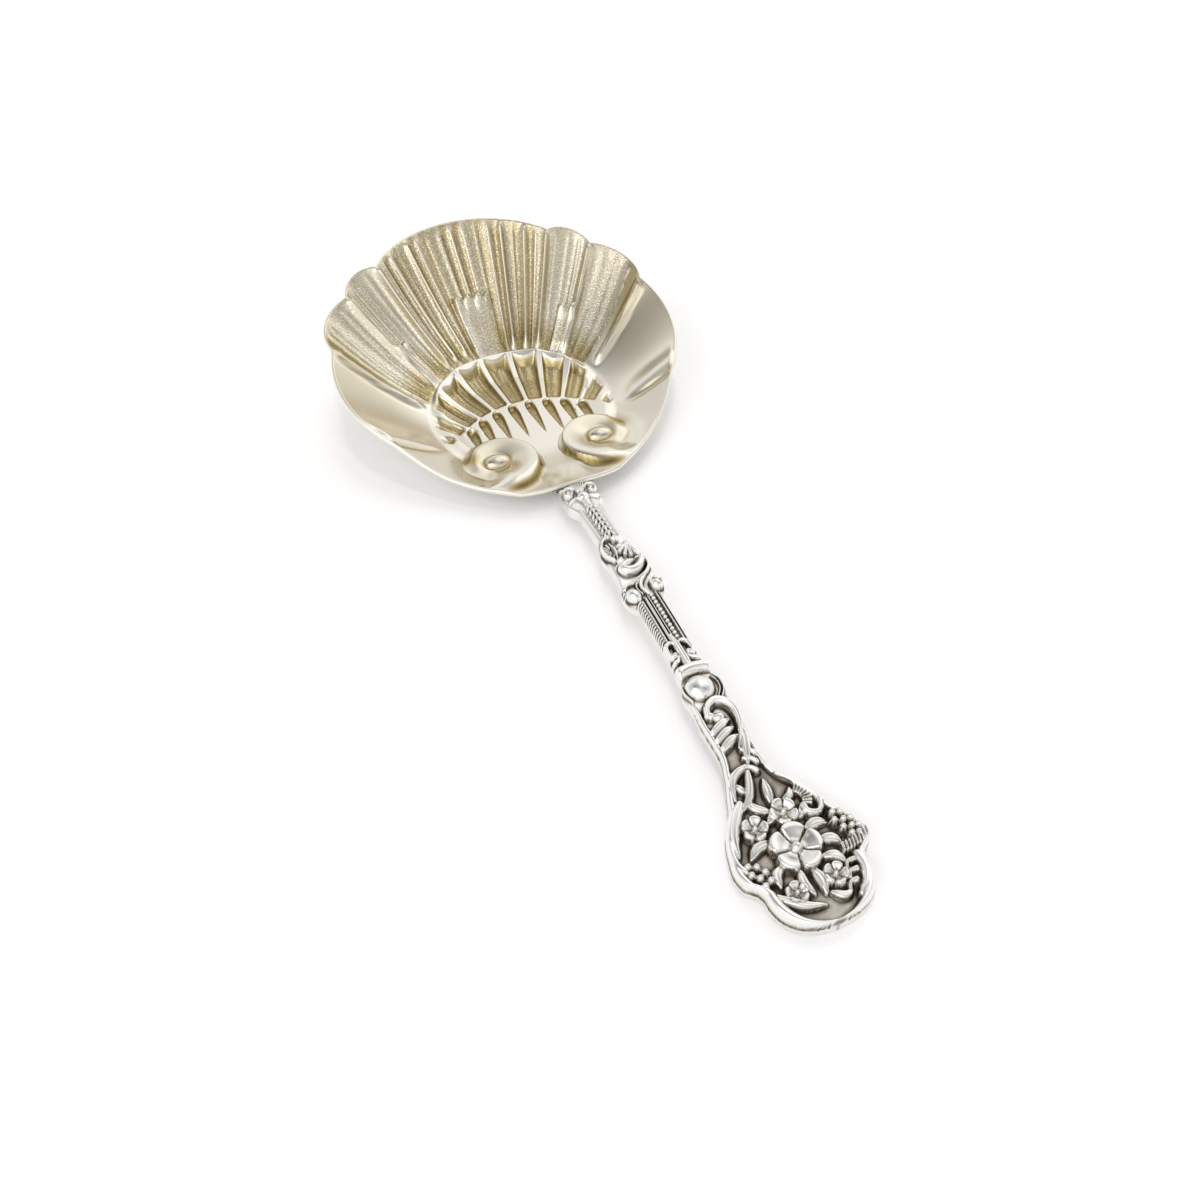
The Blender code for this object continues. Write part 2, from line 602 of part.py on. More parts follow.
def shaft_stations():
    """Places of the sections, close together where the relief is rich."""
    start = HEEL_GAP + STEP_RUN
    runs = (
        np.linspace(start, ROPE_FROM, 8),
        np.linspace(ROPE_FROM, ROPE_TO, 7),
        np.linspace(ROPE_TO, REEDS_FROM, 18),
        np.linspace(REEDS_FROM, REEDS_TO, 7),
        np.linspace(REEDS_TO, COLLAR_AT - COLLAR_HALF_LENGTH, 6),
        np.linspace(COLLAR_AT - COLLAR_HALF_LENGTH, COLLAR_AT + COLLAR_HALF_LENGTH, 7),
        np.linspace(COLLAR_AT + COLLAR_HALF_LENGTH, NECK_AT, 9),
        np.linspace(NECK_AT, CARTOUCHE_WIDEST, 27),
        np.linspace(CARTOUCHE_WIDEST, NOTCH_AT, 7),
        NOTCH_AT + (HANDLE_LENGTH - NOTCH_AT) * np.sin(np.radians(np.linspace(0, 88, 12))),
    )
    return np.unique(np.round(np.concatenate(runs), 4))


def handle_rings():
    """Sections from the tongue's tip to the handle's end, with a step up just clear of the bowl's heel."""
    tongue = -TONGUE_REACH * np.cos(np.radians(np.linspace(0, 90, 7)))
    rings = [tongue_section(along) for along in (*tongue, HEEL_GAP)]
    return rings + [shaft_section(along) for along in shaft_stations()]


def seam_rings():
    """Sections of the thin solder layer, a fillet wider than the tongue, that follows the bowl's back."""
    rings = []
    reach = TONGUE_REACH + SEAM_FILLET
    for turn in np.radians(np.linspace(8, 90, 9)):
        along = -SEAM_END - (reach - SEAM_END) * np.cos(turn)
        half = (TONGUE_HALF_WIDTH + SEAM_FILLET) * np.sin(turn)
        x = half * np.linspace(-1, 1, 7)
        top = under_bowl(x, along) - JOINT_GAP
        loop_x = np.concatenate((x, x[::-1]))
        loop_z = np.concatenate((top, top[::-1] - SEAM_THICKNESS))
        rings.append(np.stack((loop_x, np.full_like(loop_x, -along), loop_z), 1))
    return rings


def make_material(name, colour, roughness):
    """A plain metal."""
    material = bpy.data.materials.new(name)
    material.use_nodes = True
    shader = material.node_tree.nodes["Principled BSDF"]
    shader.inputs["Base Color"].default_value = (*colour, 1.0)
    shader.inputs["Metallic"].default_value = 1.0
    shader.inputs["Roughness"].default_value = roughness
    return material


def make_loft(name, rings, poles, material, parent, y):
    """A closed body through rings of points, with a flat cap on each end or a pole where one is given."""
    shape = bmesh.new()
    loops = [[shape.verts.new(Vector(point) * MM) for point in ring] for ring in rings]
    for first, second in zip(loops, loops[1:]):
        following = zip(first, first[1:] + first[:1], second[1:] + second[:1], second)
        for corners in following:
            shape.faces.new(corners)
    for loop, pole in zip((loops[0], loops[-1]), poles):
        if pole is None:
            shape.faces.new(loop)
        else:
            tip = shape.verts.new(Vector(pole) * MM)
            for a, b in zip(loop, loop[1:] + loop[:1]):
                shape.faces.new((a, b, tip))
    bmesh.ops.recalc_face_normals(shape, faces=shape.faces)
    mesh = bpy.data.meshes.new(name)
    shape.to_mesh(mesh)
    shape.free()
    mesh.shade_smooth()
    mesh.set_sharp_from_angle(angle=np.radians(40))
    mesh.materials.append(material)
    piece = bpy.data.objects.new(name, mesh)
    piece.parent = parent
    piece.location.y = y * MM
    bpy.context.scene.collection.objects.link(piece)


def main():
    for item in list(bpy.data.objects):
        bpy.data.objects.remove(item, do_unlink=True)
    spoon = bpy.data.objects.new("spoon", None)
    bpy.context.scene.collection.objects.link(spoon)
    gilt = make_material("gilt_silver", (0.72, 0.66, 0.50), 0.3)
    silver = make_material("oxidised_silver", (0.78, 0.77, 0.75), 0.25)
    solder = make_material("silver_solder", (0.66, 0.64, 0.60), 0.4)
    rings, hub, foot = bowl_rings()
    make_loft("bowl", rings, (hub, foot), gilt, spoon, BOWL_Y)
    make_loft("handle", handle_rings(), (None, None), silver, spoon, HEEL_Y)
    make_loft("solder_seam", seam_rings(), (None, None), solder, spoon, HEEL_Y)


main()
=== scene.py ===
"""The looks of a bonbon spoon: a gilt shell bowl, a struck and oxidised silver handle, and their solder.

+X is to the right, +Y runs from the handle's end to the bowl's far lip, and +Z is up. Lengths are in
millimetres and angles in degrees until a mesh is made. The bowl is drawn about the centre of its rays,
with y towards the far lip. The handle is drawn along its length from the bowl's heel.
"""

from typing import NamedTuple

import bpy
import numpy as np
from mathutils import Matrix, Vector


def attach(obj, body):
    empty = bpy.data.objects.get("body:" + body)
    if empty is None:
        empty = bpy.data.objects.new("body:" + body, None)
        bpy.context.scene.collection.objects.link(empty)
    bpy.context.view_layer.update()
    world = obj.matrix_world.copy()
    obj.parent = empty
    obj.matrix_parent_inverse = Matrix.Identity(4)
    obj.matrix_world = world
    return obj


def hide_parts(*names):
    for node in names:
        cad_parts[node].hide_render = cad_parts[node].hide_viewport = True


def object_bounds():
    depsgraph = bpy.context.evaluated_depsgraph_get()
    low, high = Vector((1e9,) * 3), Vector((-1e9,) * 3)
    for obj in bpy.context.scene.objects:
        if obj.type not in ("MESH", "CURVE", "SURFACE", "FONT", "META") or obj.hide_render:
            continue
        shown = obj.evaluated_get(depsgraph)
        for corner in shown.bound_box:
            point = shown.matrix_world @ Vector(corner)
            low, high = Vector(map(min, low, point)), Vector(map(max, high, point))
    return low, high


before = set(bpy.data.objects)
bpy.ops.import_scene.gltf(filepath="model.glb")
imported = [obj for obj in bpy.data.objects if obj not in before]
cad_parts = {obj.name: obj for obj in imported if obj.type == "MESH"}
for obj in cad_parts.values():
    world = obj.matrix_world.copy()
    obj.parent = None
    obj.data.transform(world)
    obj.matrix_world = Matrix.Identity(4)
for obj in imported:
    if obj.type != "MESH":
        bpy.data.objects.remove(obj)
CAD_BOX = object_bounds()
MM = 0.001


class Notch(NamedTuple):
    """A cusp of the lip, with the bulge of the lobe that starts there and runs on towards the heel."""

    angle: float
    radius: float
    height: float
    bulge: float


class ShortLobe(NamedTuple):
    """A raised tongue of reeds on the lower half of a lobe of the bowl's wall."""

    angle: float
    half_angle: float
    reach: float
    reeds: int


class Spot(NamedTuple):
    """Places in the bowl's plan: their angle from the far lip and distance from the ray centre, their share
    of the way up the wall, and the angle of the flute through them."""

    x: np.ndarray
    y: np.ndarray
    angle: np.ndarray
    radius: np.ndarray
    share: np.ndarray
    ray: np.ndarray


class Winding(NamedTuple):
    """Places about the eye of a volute: their offsets and distance from it, the distance as the oval eye
    takes it, the angle wound from the tail, and the crest's distance and the flank's width at that angle."""

    dx: np.ndarray
    dy: np.ndarray
    reach: np.ndarray
    from_eye: np.ndarray
    wound: np.ndarray
    radius: np.ndarray
    flank: np.ndarray


# Bowl, as the part has it
BOWL_SHEET = 1.1
LIP_SHEET = 0.75
FAR_REACH = 35.1
FAR_HEIGHT = 17.6
HEEL_REACH = 20.6
HEEL_HEIGHT = 4.2
FOOT_RADIUS = 9.5
BOWL_CURVE = 1.55
NOTCHES = (
    Notch(29.0, 0.878 * FAR_REACH, 0.985 * FAR_HEIGHT, 1.9),
    Notch(42.5, 0.892 * FAR_REACH, 0.88 * FAR_HEIGHT, 2.3),
    Notch(62.6, 0.843 * FAR_REACH, 0.735 * FAR_HEIGHT, 2.8),
    Notch(104.3, 0.678 * FAR_REACH, 0.455 * FAR_HEIGHT, 1.3),
    Notch(157.5, 1.02 * HEEL_REACH, 0.857 * HEEL_HEIGHT, 0.0),
)
PETAL_DIP_ANGLE = 130.0
PETAL_DIP_HEIGHT = 1.07 * HEEL_HEIGHT
BOWL_Y = CAD_BOX[1].y / MM - FAR_REACH
HEEL_Y = BOWL_Y - HEEL_REACH

# Flutes of the wall: first and last angle and count, lobe by lobe, and their cut
FLUTED = ((0.0, NOTCHES[0].angle, 8), (NOTCHES[0].angle, NOTCHES[1].angle, 4), (NOTCHES[1].angle, 56.5, 3))
FLUTE_DEPTH = 0.85
FLUTE_LEVEL = 0.4
FLUTE_SHARPNESS = 3.2
FLUTE_UNEVEN = 0.22
FLUTE_UNEVEN_TURN = 1.37
FLUTE_SWAY = 0.16
FLUTE_SWAY_TURN = 2.4
FLUTE_RUN = 2.0
FLUTE_FADE = 0.055
SIDE_FLATTENING = 0.55
LIP_SHARE = 0.02
RAY_DRIFT = 7.0

# Ridges between the lobes, as angle and rise, and the fold between the side petals
RIDGES = ((14.5, 0.8), (21.75, 0.5), *((notch.angle, 1.0) for notch in NOTCHES[:3]))
RIDGE_WIDTH = 0.5
FOLD_DEPTH = 0.5
FOLD_WIDTH = 0.8
FOLD_BULGE = 0.6
FOLD_BULGE_WIDTH = 2.4

# Short lobes: their sides are soft on the right and steep on the left
SHORT_LOBES = (ShortLobe(0.3, 8.7, 24.4, 4), ShortLobe(39.6, 4.1, 22.2, 2), ShortLobe(-39.6, 4.1, 22.2, 2))
SHORT_LOBE_RISE = 1.1
SHORT_LOBE_END = 1.2
SHORT_LOBE_SIDES = (0.6, 0.16)
SHORT_LOBE_SCALLOP = 0.8
SHORT_LOBE_KNOB = 0.55
SHORT_LOBE_KNOB_RUN = 0.9

# Fan on the floor, with an outer and an inner row of pockets
FAN_RADIUS = 15.4
FAN_RISE = 0.9
FAN_EDGE = 0.5
FAN_SIDE_EDGE = 3.2
FAN_BORDER = 0.75
FAN_CORNER = 0.85
FAN_HALF_ANGLE = 61.0
FAN_END_ANGLE = 14.0
HUB_OFFSET = 12.5
POCKET_PITCH = 10.7
POCKETS_A_SIDE = 5
POCKET_WIDTH = 8.4
POCKET_START = 15.6
POCKET_DEPTH = 1.2
POCKET_WALL = 0.45
POCKET_END = 0.9
POCKET_SCOOP = 1.5
POCKET_RIB = 0.22
POCKET_RIB_WIDTH = 0.35
POCKET_LENGTH = 10.0
POCKET_START_DEPTH = 0.55
INNER_POCKETS_A_SIDE = 4
INNER_POCKET_LENGTH = 9.0
INNER_POCKET_HALF_WIDTH = 1.05
INNER_POCKET_DEPTH = 0.85
RIB_BAND = 0.2
STEM_HALF_WIDTH = 2.6
STEM_EDGE = 1.5
STEM_FADE = 6.0

# Volutes beside the stem, at angles wound from their tails
VOLUTE_SIDE = 8.45
VOLUTE_BACK = 10.55
VOLUTE_TAIL = 42.0
VOLUTE_MARKS = (0.0, 25.0, 55.0, 90.0, 126.0, 175.0, 228.0, 307.0, 360.0)
VOLUTE_RADII = (6.7, 6.15, 6.12, 6.05, 5.9, 5.1, 4.4, 3.2, 2.6)
VOLUTE_CRESTS = (4.4, 4.4, 4.3, 4.1, 3.85, 3.6, 3.45, 3.2, 2.9)
VOLUTE_FLANKS = (1.2, 1.7, 2.0, 1.2, 0.8, 0.7, 0.9, 1.6, 2.0)
FLANK_REACH = 1.3
FLANK_POWER = 1.7
TAIL_RUN = 55.0
EYE_RADIUS = 2.05
EYE_LEVEL = 2.9
EYE_RISE = 1.0
EYE_SQUASH = 1.3

# How much of the embossing shows on the bowl's back
WALL_SHOWS = 0.75
FAN_SHOWS = 0.6
POCKETS_SHOW = 0.5
VOLUTES_SHOW = 0.7
LEAST_SHEET = 0.5

# Tone of the bowl's inside, from 0 where it is pale to 1 where it is brown: the gold's own tone on the wall
# and petals, a stain on the heel, and painted shade, painted highlights and a painted dark reflection on the
# relief
WALL_GOLD = 0.1
# Painted shade in the flute channels and low on the wall by the fan
CHANNEL_SHADE = 0.32
LOW_WALL_SHADE = 0.4
LOW_WALL = 7.0
# Painted shade on the short lobes' lower part away from the light and along their edges
SHORT_LOBE_SHADE = 0.28
SHORT_LOBE_EDGE_SHADE = 0.6
# Painted shade in the pockets, most at their edges
POCKET_SHADE = 0.46
POCKET_EDGE_SHADE = 0.3
PETAL_GOLD = 0.2
# Painted shade by the third notch and in the fold between the side petals
NOTCH_SHADE = 0.25
FOLD_SHADE = 0.28
# Painted shade round the volutes' eyes, at their feet and in their dishes, and a painted dark reflection on
# their flanks
EYE_SHADE = 0.5
FOOT_SHADE = 0.65
DISH_SHADE = 0.14
FLANK_DARK_REFLECTION = 0.95
HEEL_GOLD = 0.3

# Mesh of the bowl: spokes from notch to notch on the right, rings, and the samples that space the rings
SPOKES = (66, 28, 31, 27, 64, 14)
FLOOR_RINGS = 100
FLOOR_SAMPLES = 700
WALL_RINGS = 72
WALL_SAMPLES = 400
LIP_RINGS = 7
BACK_RINGS = 24
FOOT_RINGS = 11

# Handle, as the part has it; its outline gives the place along it and the reach to the left and right
HANDLE_LENGTH = 76.0
SHAFT_AT = 13.8
SHAFT_BACK = 2.3
SHAFT_PLATE = 2.2
REEDS_FROM = 26.2
NECK_AT = 44.8
NECK_BACK = 1.7
CARTOUCHE_WIDEST = 66.6
CARTOUCHE_PLATE = 1.5
PAD_AT = 63.8
NOTCH_AT = 70.6
END_POWER = 2.3
EDGE_ROUND = 0.45
BACK_BEVEL = 0.5
OUTLINE = (
    (0.0, 2.7, 2.7), (4.4, 2.75, 2.75), (6.6, 1.95, 1.95), (13.2, 1.85, 1.85), (14.2, 2.1, 1.85),
    (16.2, 2.55, 1.9), (18.4, 2.25, 2.4), (20.4, 2.3, 2.9), (22.4, 2.6, 2.85), (24.6, 2.95, 2.95),
    (26.2, 2.6, 2.2), (27.2, 1.9, 1.9), (35.2, 1.9, 1.9), (38.0, 2.0, 2.0), (39.3, 2.2, 2.2),
    (40.6, 2.1, 2.1), (42.4, 2.8, 2.8), (44.4, 2.6, 2.6), (47.5, 2.8, 2.5), (52.0, 2.6, 2.3),
    (55.0, 3.3, 2.6), (57.0, 4.1, 3.5), (59.0, 4.9, 5.4), (62.0, 6.8, 6.9), (64.3, 7.6, 8.1),
    (66.6, 8.05, 9.05), (68.2, 7.75, 8.7), (69.6, 6.5, 7.25), (70.6, 6.2, 7.05),
)

# Joint between bowl and handle
TONGUE_REACH = 5.5
TONGUE_HALF_WIDTH = 2.7
TONGUE_ROOT = 1.4
TONGUE_TIP = 0.6
SEAM_THICKNESS = 0.25
JOINT_GAP = 0.12
HEEL_GAP = 0.35
STEP_RUN = 0.2

# Mesh of the handle: sections between two places, up to an angle of its round end, and points across its top
SECTIONS = (
    (HEEL_GAP + STEP_RUN, 13.5, 104), (13.5, 26.0, 114), (26.0, 35.2, 108), (35.2, 52.0, 130),
    (52.0, NOTCH_AT, 155),
)
END_SECTIONS = 54
END_TURN = 88.5
TONGUE_SECTIONS = 14
TOP_POINTS = 122

# Ornament map of the handle, and where its dark field begins
CELL = 0.07
MAP_SIDE = 9.6
FIELD_AT = 46.0
FIELD_RUN = 6.0

# Power that rounds a dome, a band or a pocket
ROUND = 0.6

# Windows and dark cloths of the studio: direction, cosines of the outer and inner edge, change in light
SKY_PATCHES = (
    ((-0.57, -0.48, 0.67), 0.78, 0.93, 0.45),
    ((-0.68, -0.2, 0.7), 0.91, 0.96, 0.9),
    ((-0.35, 0.05, 0.93), 0.92, 0.985, -0.25),
    ((0.5, 0.29, 0.82), 0.82, 0.95, 0.6),
    ((-0.66, 0.42, 0.62), 0.84, 0.97, -0.3),
    ((0.66, -0.27, 0.7), 0.86, 0.97, -0.3),
)
WALLS_LIGHT = 0.97
CEILING_LIGHT = 0.62
CEILING_EDGES = (0.5, 0.88)

# Half the table's side, in metres, and how much of its white shows whatever light falls on it
TABLE_SIZE = 3.0
TABLE_GLOW = 0.02

# Camera's place and what it faces
CAMERA_AT = (-49.2114, -113.96, 121.7)
CAMERA_AIM = (-4.383, -9.7704, 0.0)
LENS = 36.0
SENSOR = 36.0


def smooth_step(value):
    """0 below 0, 1 above 1, and an S-shaped rise between them."""
    t = np.clip(value, 0.0, 1.0)
    return t * t * (3.0 - 2.0 * t)


def rise(value, start, run):
    """0 up to the start, and 1 from a run past it."""
    return smooth_step((value - start) / run)


def fall(value, end, run):
    """1 until a run before the end, and 0 from the end on."""
    return smooth_step((end - value) / run)


def hump(value, width):
    """A bell-shaped hump: 1 at 0, and e to the power of -1 at a width on either side."""
    return np.exp(-((value / width) ** 2))


def smooth_curve(at, places, values):
    """A smooth curve through the given points that never overshoots them."""
    x = np.asarray(places, float)
    y = np.asarray(values, float)
    gaps = np.diff(x)
    slopes = np.diff(y) / gaps
    products = slopes[:-1] * slopes[1:]
    means = np.where(products > 0, 2 * products / np.where(products > 0, slopes[:-1] + slopes[1:], 1), 0)
    tangents = np.concatenate(([0.0], means, [0.0]))
    at = np.clip(at, x[0], x[-1])
    i = np.clip(np.searchsorted(x, at, side="right") - 1, 0, len(gaps) - 1)
    t = (at - x[i]) / gaps[i]
    eased = y[i] + (y[i + 1] - y[i]) * t * t * (3 - 2 * t)
    return eased + gaps[i] * t * (1 - t) * ((1 - t) * tangents[i] - t * tangents[i + 1])


def on_lip(notch):
    """A notch's place in plan."""
    angle = np.radians(notch.angle)
    return np.array((np.sin(angle), np.cos(angle))) * notch.radius


def arc_through(first, last, bulge):
    """The centre and radius of the arc from first to last that bulges out of their chord."""
    chord = last - first
    half = np.hypot(*chord) / 2
    radius = (half**2 + bulge**2) / (2 * bulge)
    outward = np.array((-chord[1], chord[0])) / (2 * half)
    return (first + last) / 2 + outward * (bulge - radius), radius


def lip_lobes():
    """The right half's lobes as (last angle, arc centre, arc radius), from the far lip to the heel."""
    mirror = np.array((-1.0, 1.0))
    corner = on_lip(NOTCHES[0])
    heel_corner = on_lip(NOTCHES[-1])
    lobes = [(NOTCHES[0].angle, *arc_through(corner * mirror, corner, FAR_REACH - corner[1]))]
    for start, end in zip(NOTCHES, NOTCHES[1:]):
        lobes.append((end.angle, *arc_through(on_lip(start), on_lip(end), start.bulge)))
    lobes.append((180.0, *arc_through(heel_corner, heel_corner * mirror, HEEL_REACH + heel_corner[1])))
    return lobes


LOBES = lip_lobes()


def lip_radius(angle):
    """The lip's distance from the ray centre, where a ray at that angle meets its lobe's arc."""
    angle = np.abs(angle)
    ray = np.stack((np.sin(np.radians(angle)), np.cos(np.radians(angle))))
    radius = np.zeros_like(angle)
    start = -1.0
    for last, centre, size in LOBES:
        along = ray[0] * centre[0] + ray[1] * centre[1]
        reach = along + np.sqrt(np.maximum(along**2 - centre @ centre + size**2, 0.0))
        radius = np.where((angle > start) & (angle <= last + 1e-6), reach, radius)
        start = last
    return radius


def lip_height(angle):
    """The lip's height, high at the far lip and low along the petals beside the heel."""
    marks = [(0.0, FAR_HEIGHT)]
    marks += [(notch.angle, notch.height) for notch in NOTCHES]
    marks += [(PETAL_DIP_ANGLE, PETAL_DIP_HEIGHT), (180.0, HEEL_HEIGHT)]
    return smooth_curve(np.abs(angle), *zip(*sorted(marks)))


def bowl_spot(x, y):
    """The spot at x and y: its share is 0 on the foot and 1 at the lip, and the outer flutes lean in towards
    the hub as they run down."""
    angle, radius = np.degrees(np.arctan2(x, y)), np.hypot(x, y)
    share = np.maximum(radius - FOOT_RADIUS, 0.0) / (lip_radius(angle) - FOOT_RADIUS)
    side = rise(np.abs(angle), NOTCHES[0].angle, NOTCHES[2].angle - NOTCHES[0].angle)
    ray = np.abs(angle) - RAY_DRIFT * side * np.maximum(1 - share, 0.0)
    return Spot(x, y, angle, radius, share, ray)


def bowl_base(spot):
    """Height of the bowl's inside before it is embossed: a flat floor that curves up to the lip."""
    return BOWL_SHEET + (lip_height(spot.angle) - BOWL_SHEET) * spot.share**BOWL_CURVE


def bowl_underside(spot):
    """Height of the bowl's plain back, one sheet below its inside, measured square to the wall."""
    run = lip_radius(spot.angle) - FOOT_RADIUS
    slope = (lip_height(spot.angle) - BOWL_SHEET) * BOWL_CURVE * spot.share ** (BOWL_CURVE - 1) / run
    sheet = BOWL_SHEET + (LIP_SHEET - BOWL_SHEET) * spot.share
    return bowl_base(spot) - sheet * np.sqrt(1 + slope**2)


def flute_fade(spot):
    """1 on the fluted wall, 0 on the floor and at the lip."""
    return rise(spot.radius, FAN_RADIUS, FLUTE_RUN) * fall(spot.share, 1 - LIP_SHARE, FLUTE_FADE)


def flute_ridge(spot):
    """1 along the ridge between two flutes, 0 in the middle of a channel, a little more or less in every
    other one, and the plain wall's level off the flutes."""
    ridge = np.full_like(spot.ray, FLUTE_LEVEL)
    for start, end, count in FLUTED:
        place = (spot.ray - start) / (end - start) * count
        place = place + FLUTE_SWAY * np.sin(FLUTE_SWAY_TURN * np.pi * place / count) * np.sin(np.pi * place)
        across = np.abs(2 * (place % 1.0) - 1) ** FLUTE_SHARPNESS
        across = across + FLUTE_UNEVEN * np.cos(FLUTE_UNEVEN_TURN * np.pi * place)
        ridge = np.where((spot.ray >= start) & (spot.ray < end), across, ridge)
    return ridge


def lobe_ridge(spot, angle):
    """1 along the crest of the ridge at an angle, falling to 0 on either side."""
    return hump(np.radians(spot.ray - angle) * spot.radius, RIDGE_WIDTH)


def short_lobe_masks(spot):
    """For each short lobe: the share across it, its reeds, and 1 on it falling to 0 at its sides and round
    its scalloped end."""
    leaned = np.sign(spot.angle) * spot.ray
    for lobe in SHORT_LOBES:
        across = (leaned - lobe.angle) / lobe.half_angle
        reed = np.abs(np.sin(np.pi * lobe.reeds * (across + 1) / 2)) ** 0.7
        left = np.clip((lobe.reach + SHORT_LOBE_SCALLOP * reed - spot.radius) / SHORT_LOBE_END, 0.0, 1.0)
        side = fall(np.abs(across), 1.0, np.where(across > 0, *SHORT_LOBE_SIDES))
        yield lobe, across, reed, side * np.sqrt(1 - (1 - left) ** 2)


def upper_sides(spot):
    """1 on the upper part of the lobes beside the far one, which carry a painted highlight, and 0 elsewhere.
    """
    return rise(spot.ray, NOTCHES[0].angle - 1, 3) * rise(spot.share, 0.3, 0.4)


def petal_fold(spot):
    """Distance past the fold that parts the side petals, and how strongly the fold shows there."""
    return np.radians(spot.ray - NOTCHES[3].angle) * spot.radius, rise(spot.share, 0.3, 0.5)


def wall_relief(spot):
    """Flutes: channels with sharp ridges between them; a stronger ridge where two lobes meet; short lobes of
    round reeds that stand in front of the flutes; and the fold between the side petals."""
    relief = FLUTE_DEPTH * spot.radius / FAR_REACH * (flute_ridge(spot) - FLUTE_LEVEL)
    relief = relief * (1 - SIDE_FLATTENING * upper_sides(spot))
    for angle, height in RIDGES:
        relief = relief + height * lobe_ridge(spot, angle)
    for lobe, _, reed, mask in short_lobe_masks(spot):
        up = np.clip((spot.radius - FAN_RADIUS) / (lobe.reach - FAN_RADIUS), 0.0, 1.0)
        body = SHORT_LOBE_RISE * (0.25 + 0.6 * up) * (1 - 0.4 * up**2 * (1 - reed))
        knob = SHORT_LOBE_KNOB * hump(spot.radius - lobe.reach + 0.4, SHORT_LOBE_KNOB_RUN) * reed
        relief = relief + (body + knob - relief) * mask
    past, shown = petal_fold(spot)
    fold = FOLD_BULGE * hump(past + FOLD_BULGE_WIDTH, FOLD_BULGE_WIDTH) - FOLD_DEPTH * hump(past, FOLD_WIDTH)
    return (relief + shown * fold) * flute_fade(spot)


def pocket_cuts(spot):
    """For the pockets of the fan, 1 inside them falling to 0 at their edges, and the share of their full
    depth: an outer row, forked at the outer end and deeper there, leaf-shaped towards the fan's ends, and a
    row of wedges nearer the hub."""
    hub_y = spot.y + HUB_OFFSET
    from_hub = np.hypot(spot.x, hub_y)
    angle = np.degrees(np.arctan2(spot.x, hub_y))
    step = np.clip(np.round(angle / POCKET_PITCH), -POCKETS_A_SIDE, POCKETS_A_SIDE)
    across = np.radians(np.abs(angle - step * POCKET_PITCH)) * from_hub
    leaf = np.clip((np.abs(step) - 2) / 3, 0.0, 1.0)
    half = np.radians(POCKET_WIDTH / 2) * np.maximum(from_hub, 1.0)
    share = np.minimum(across / (half * (1 - 0.45 * leaf * rise(spot.radius, 8.5, 6))), 1.0)
    rim = FAN_RADIUS - FAN_BORDER - FAN_CORNER * (1 - leaf) * (1 - share**2) + 0.3 * leaf
    inside = (1 - share**4) ** ROUND * rise(from_hub, POCKET_START, POCKET_END)
    inside *= np.sin(np.pi / 2 * np.clip((rim - spot.radius) / POCKET_SCOOP, 0.0, 1.0))
    outwards = (from_hub - POCKET_START) / POCKET_LENGTH
    floor = np.clip(POCKET_START_DEPTH + (1 - POCKET_START_DEPTH) * outwards, 0.0, 1.0)
    depth = inside * floor * (1 - POCKET_RIB * hump(share, POCKET_RIB_WIDTH))
    start = POCKET_START - RIB_BAND
    for number in range(INNER_POCKETS_A_SIDE):
        turn = np.radians((number + 0.5) * POCKET_PITCH)
        side, top = start * np.sin(turn), start * np.cos(turn)
        left = (hub_y - top) / INNER_POCKET_LENGTH + 1
        within = np.clip(left, 0.02, 0.999)
        width = INNER_POCKET_HALF_WIDTH * within**0.9 * (1 - within**9) ** ROUND
        share = np.minimum(np.abs(np.abs(spot.x) - side) / width, 1.0)
        cut = (1 - share**4) ** ROUND * fall(hub_y, top, POCKET_WALL) * rise(left, 0.0, 0.2)
        inside = np.maximum(inside, cut)
        depth = np.maximum(depth, INNER_POCKET_DEPTH * cut * np.clip(left, 0.0, 1.0))
    return inside, depth


def fan_plateau(spot):
    """Height of the raised fan and of the stem that it runs on into between the volutes."""
    angle = np.degrees(np.arctan2(np.abs(spot.x), spot.y + HUB_OFFSET))
    edge = FAN_EDGE + (FAN_SIDE_EDGE - FAN_EDGE) * rise(np.abs(spot.angle), 45, 35)
    fan = fall(spot.radius, FAN_RADIUS, edge) * fall(angle, FAN_HALF_ANGLE + FAN_END_ANGLE, FAN_END_ANGLE)
    stem = fall(np.abs(spot.x), STEM_HALF_WIDTH + STEM_EDGE, STEM_EDGE) * (spot.y < 0)
    stem *= smooth_step((1 - spot.share) * (HEEL_REACH - FOOT_RADIUS) / STEM_FADE)
    return np.maximum(fan, stem) * FAN_RISE


def fan_relief(spot):
    """The fan with its pockets sunk into it."""
    return fan_plateau(spot) * (1 - POCKET_DEPTH / FAN_RISE * pocket_cuts(spot)[1])


def volute_winding(spot):
    """The spot about the eye of the volute on its side."""
    dx, dy = np.abs(spot.x) - VOLUTE_SIDE, spot.y + VOLUTE_BACK
    wound = np.mod(VOLUTE_TAIL - np.degrees(np.arctan2(dx, -dy)), 360.0)
    radius, flank = (smooth_curve(wound, VOLUTE_MARKS, values) for values in (VOLUTE_RADII, VOLUTE_FLANKS))
    return Winding(dx, dy, np.hypot(dx, dy), np.hypot(dx, EYE_SQUASH * dy), wound, radius, flank)


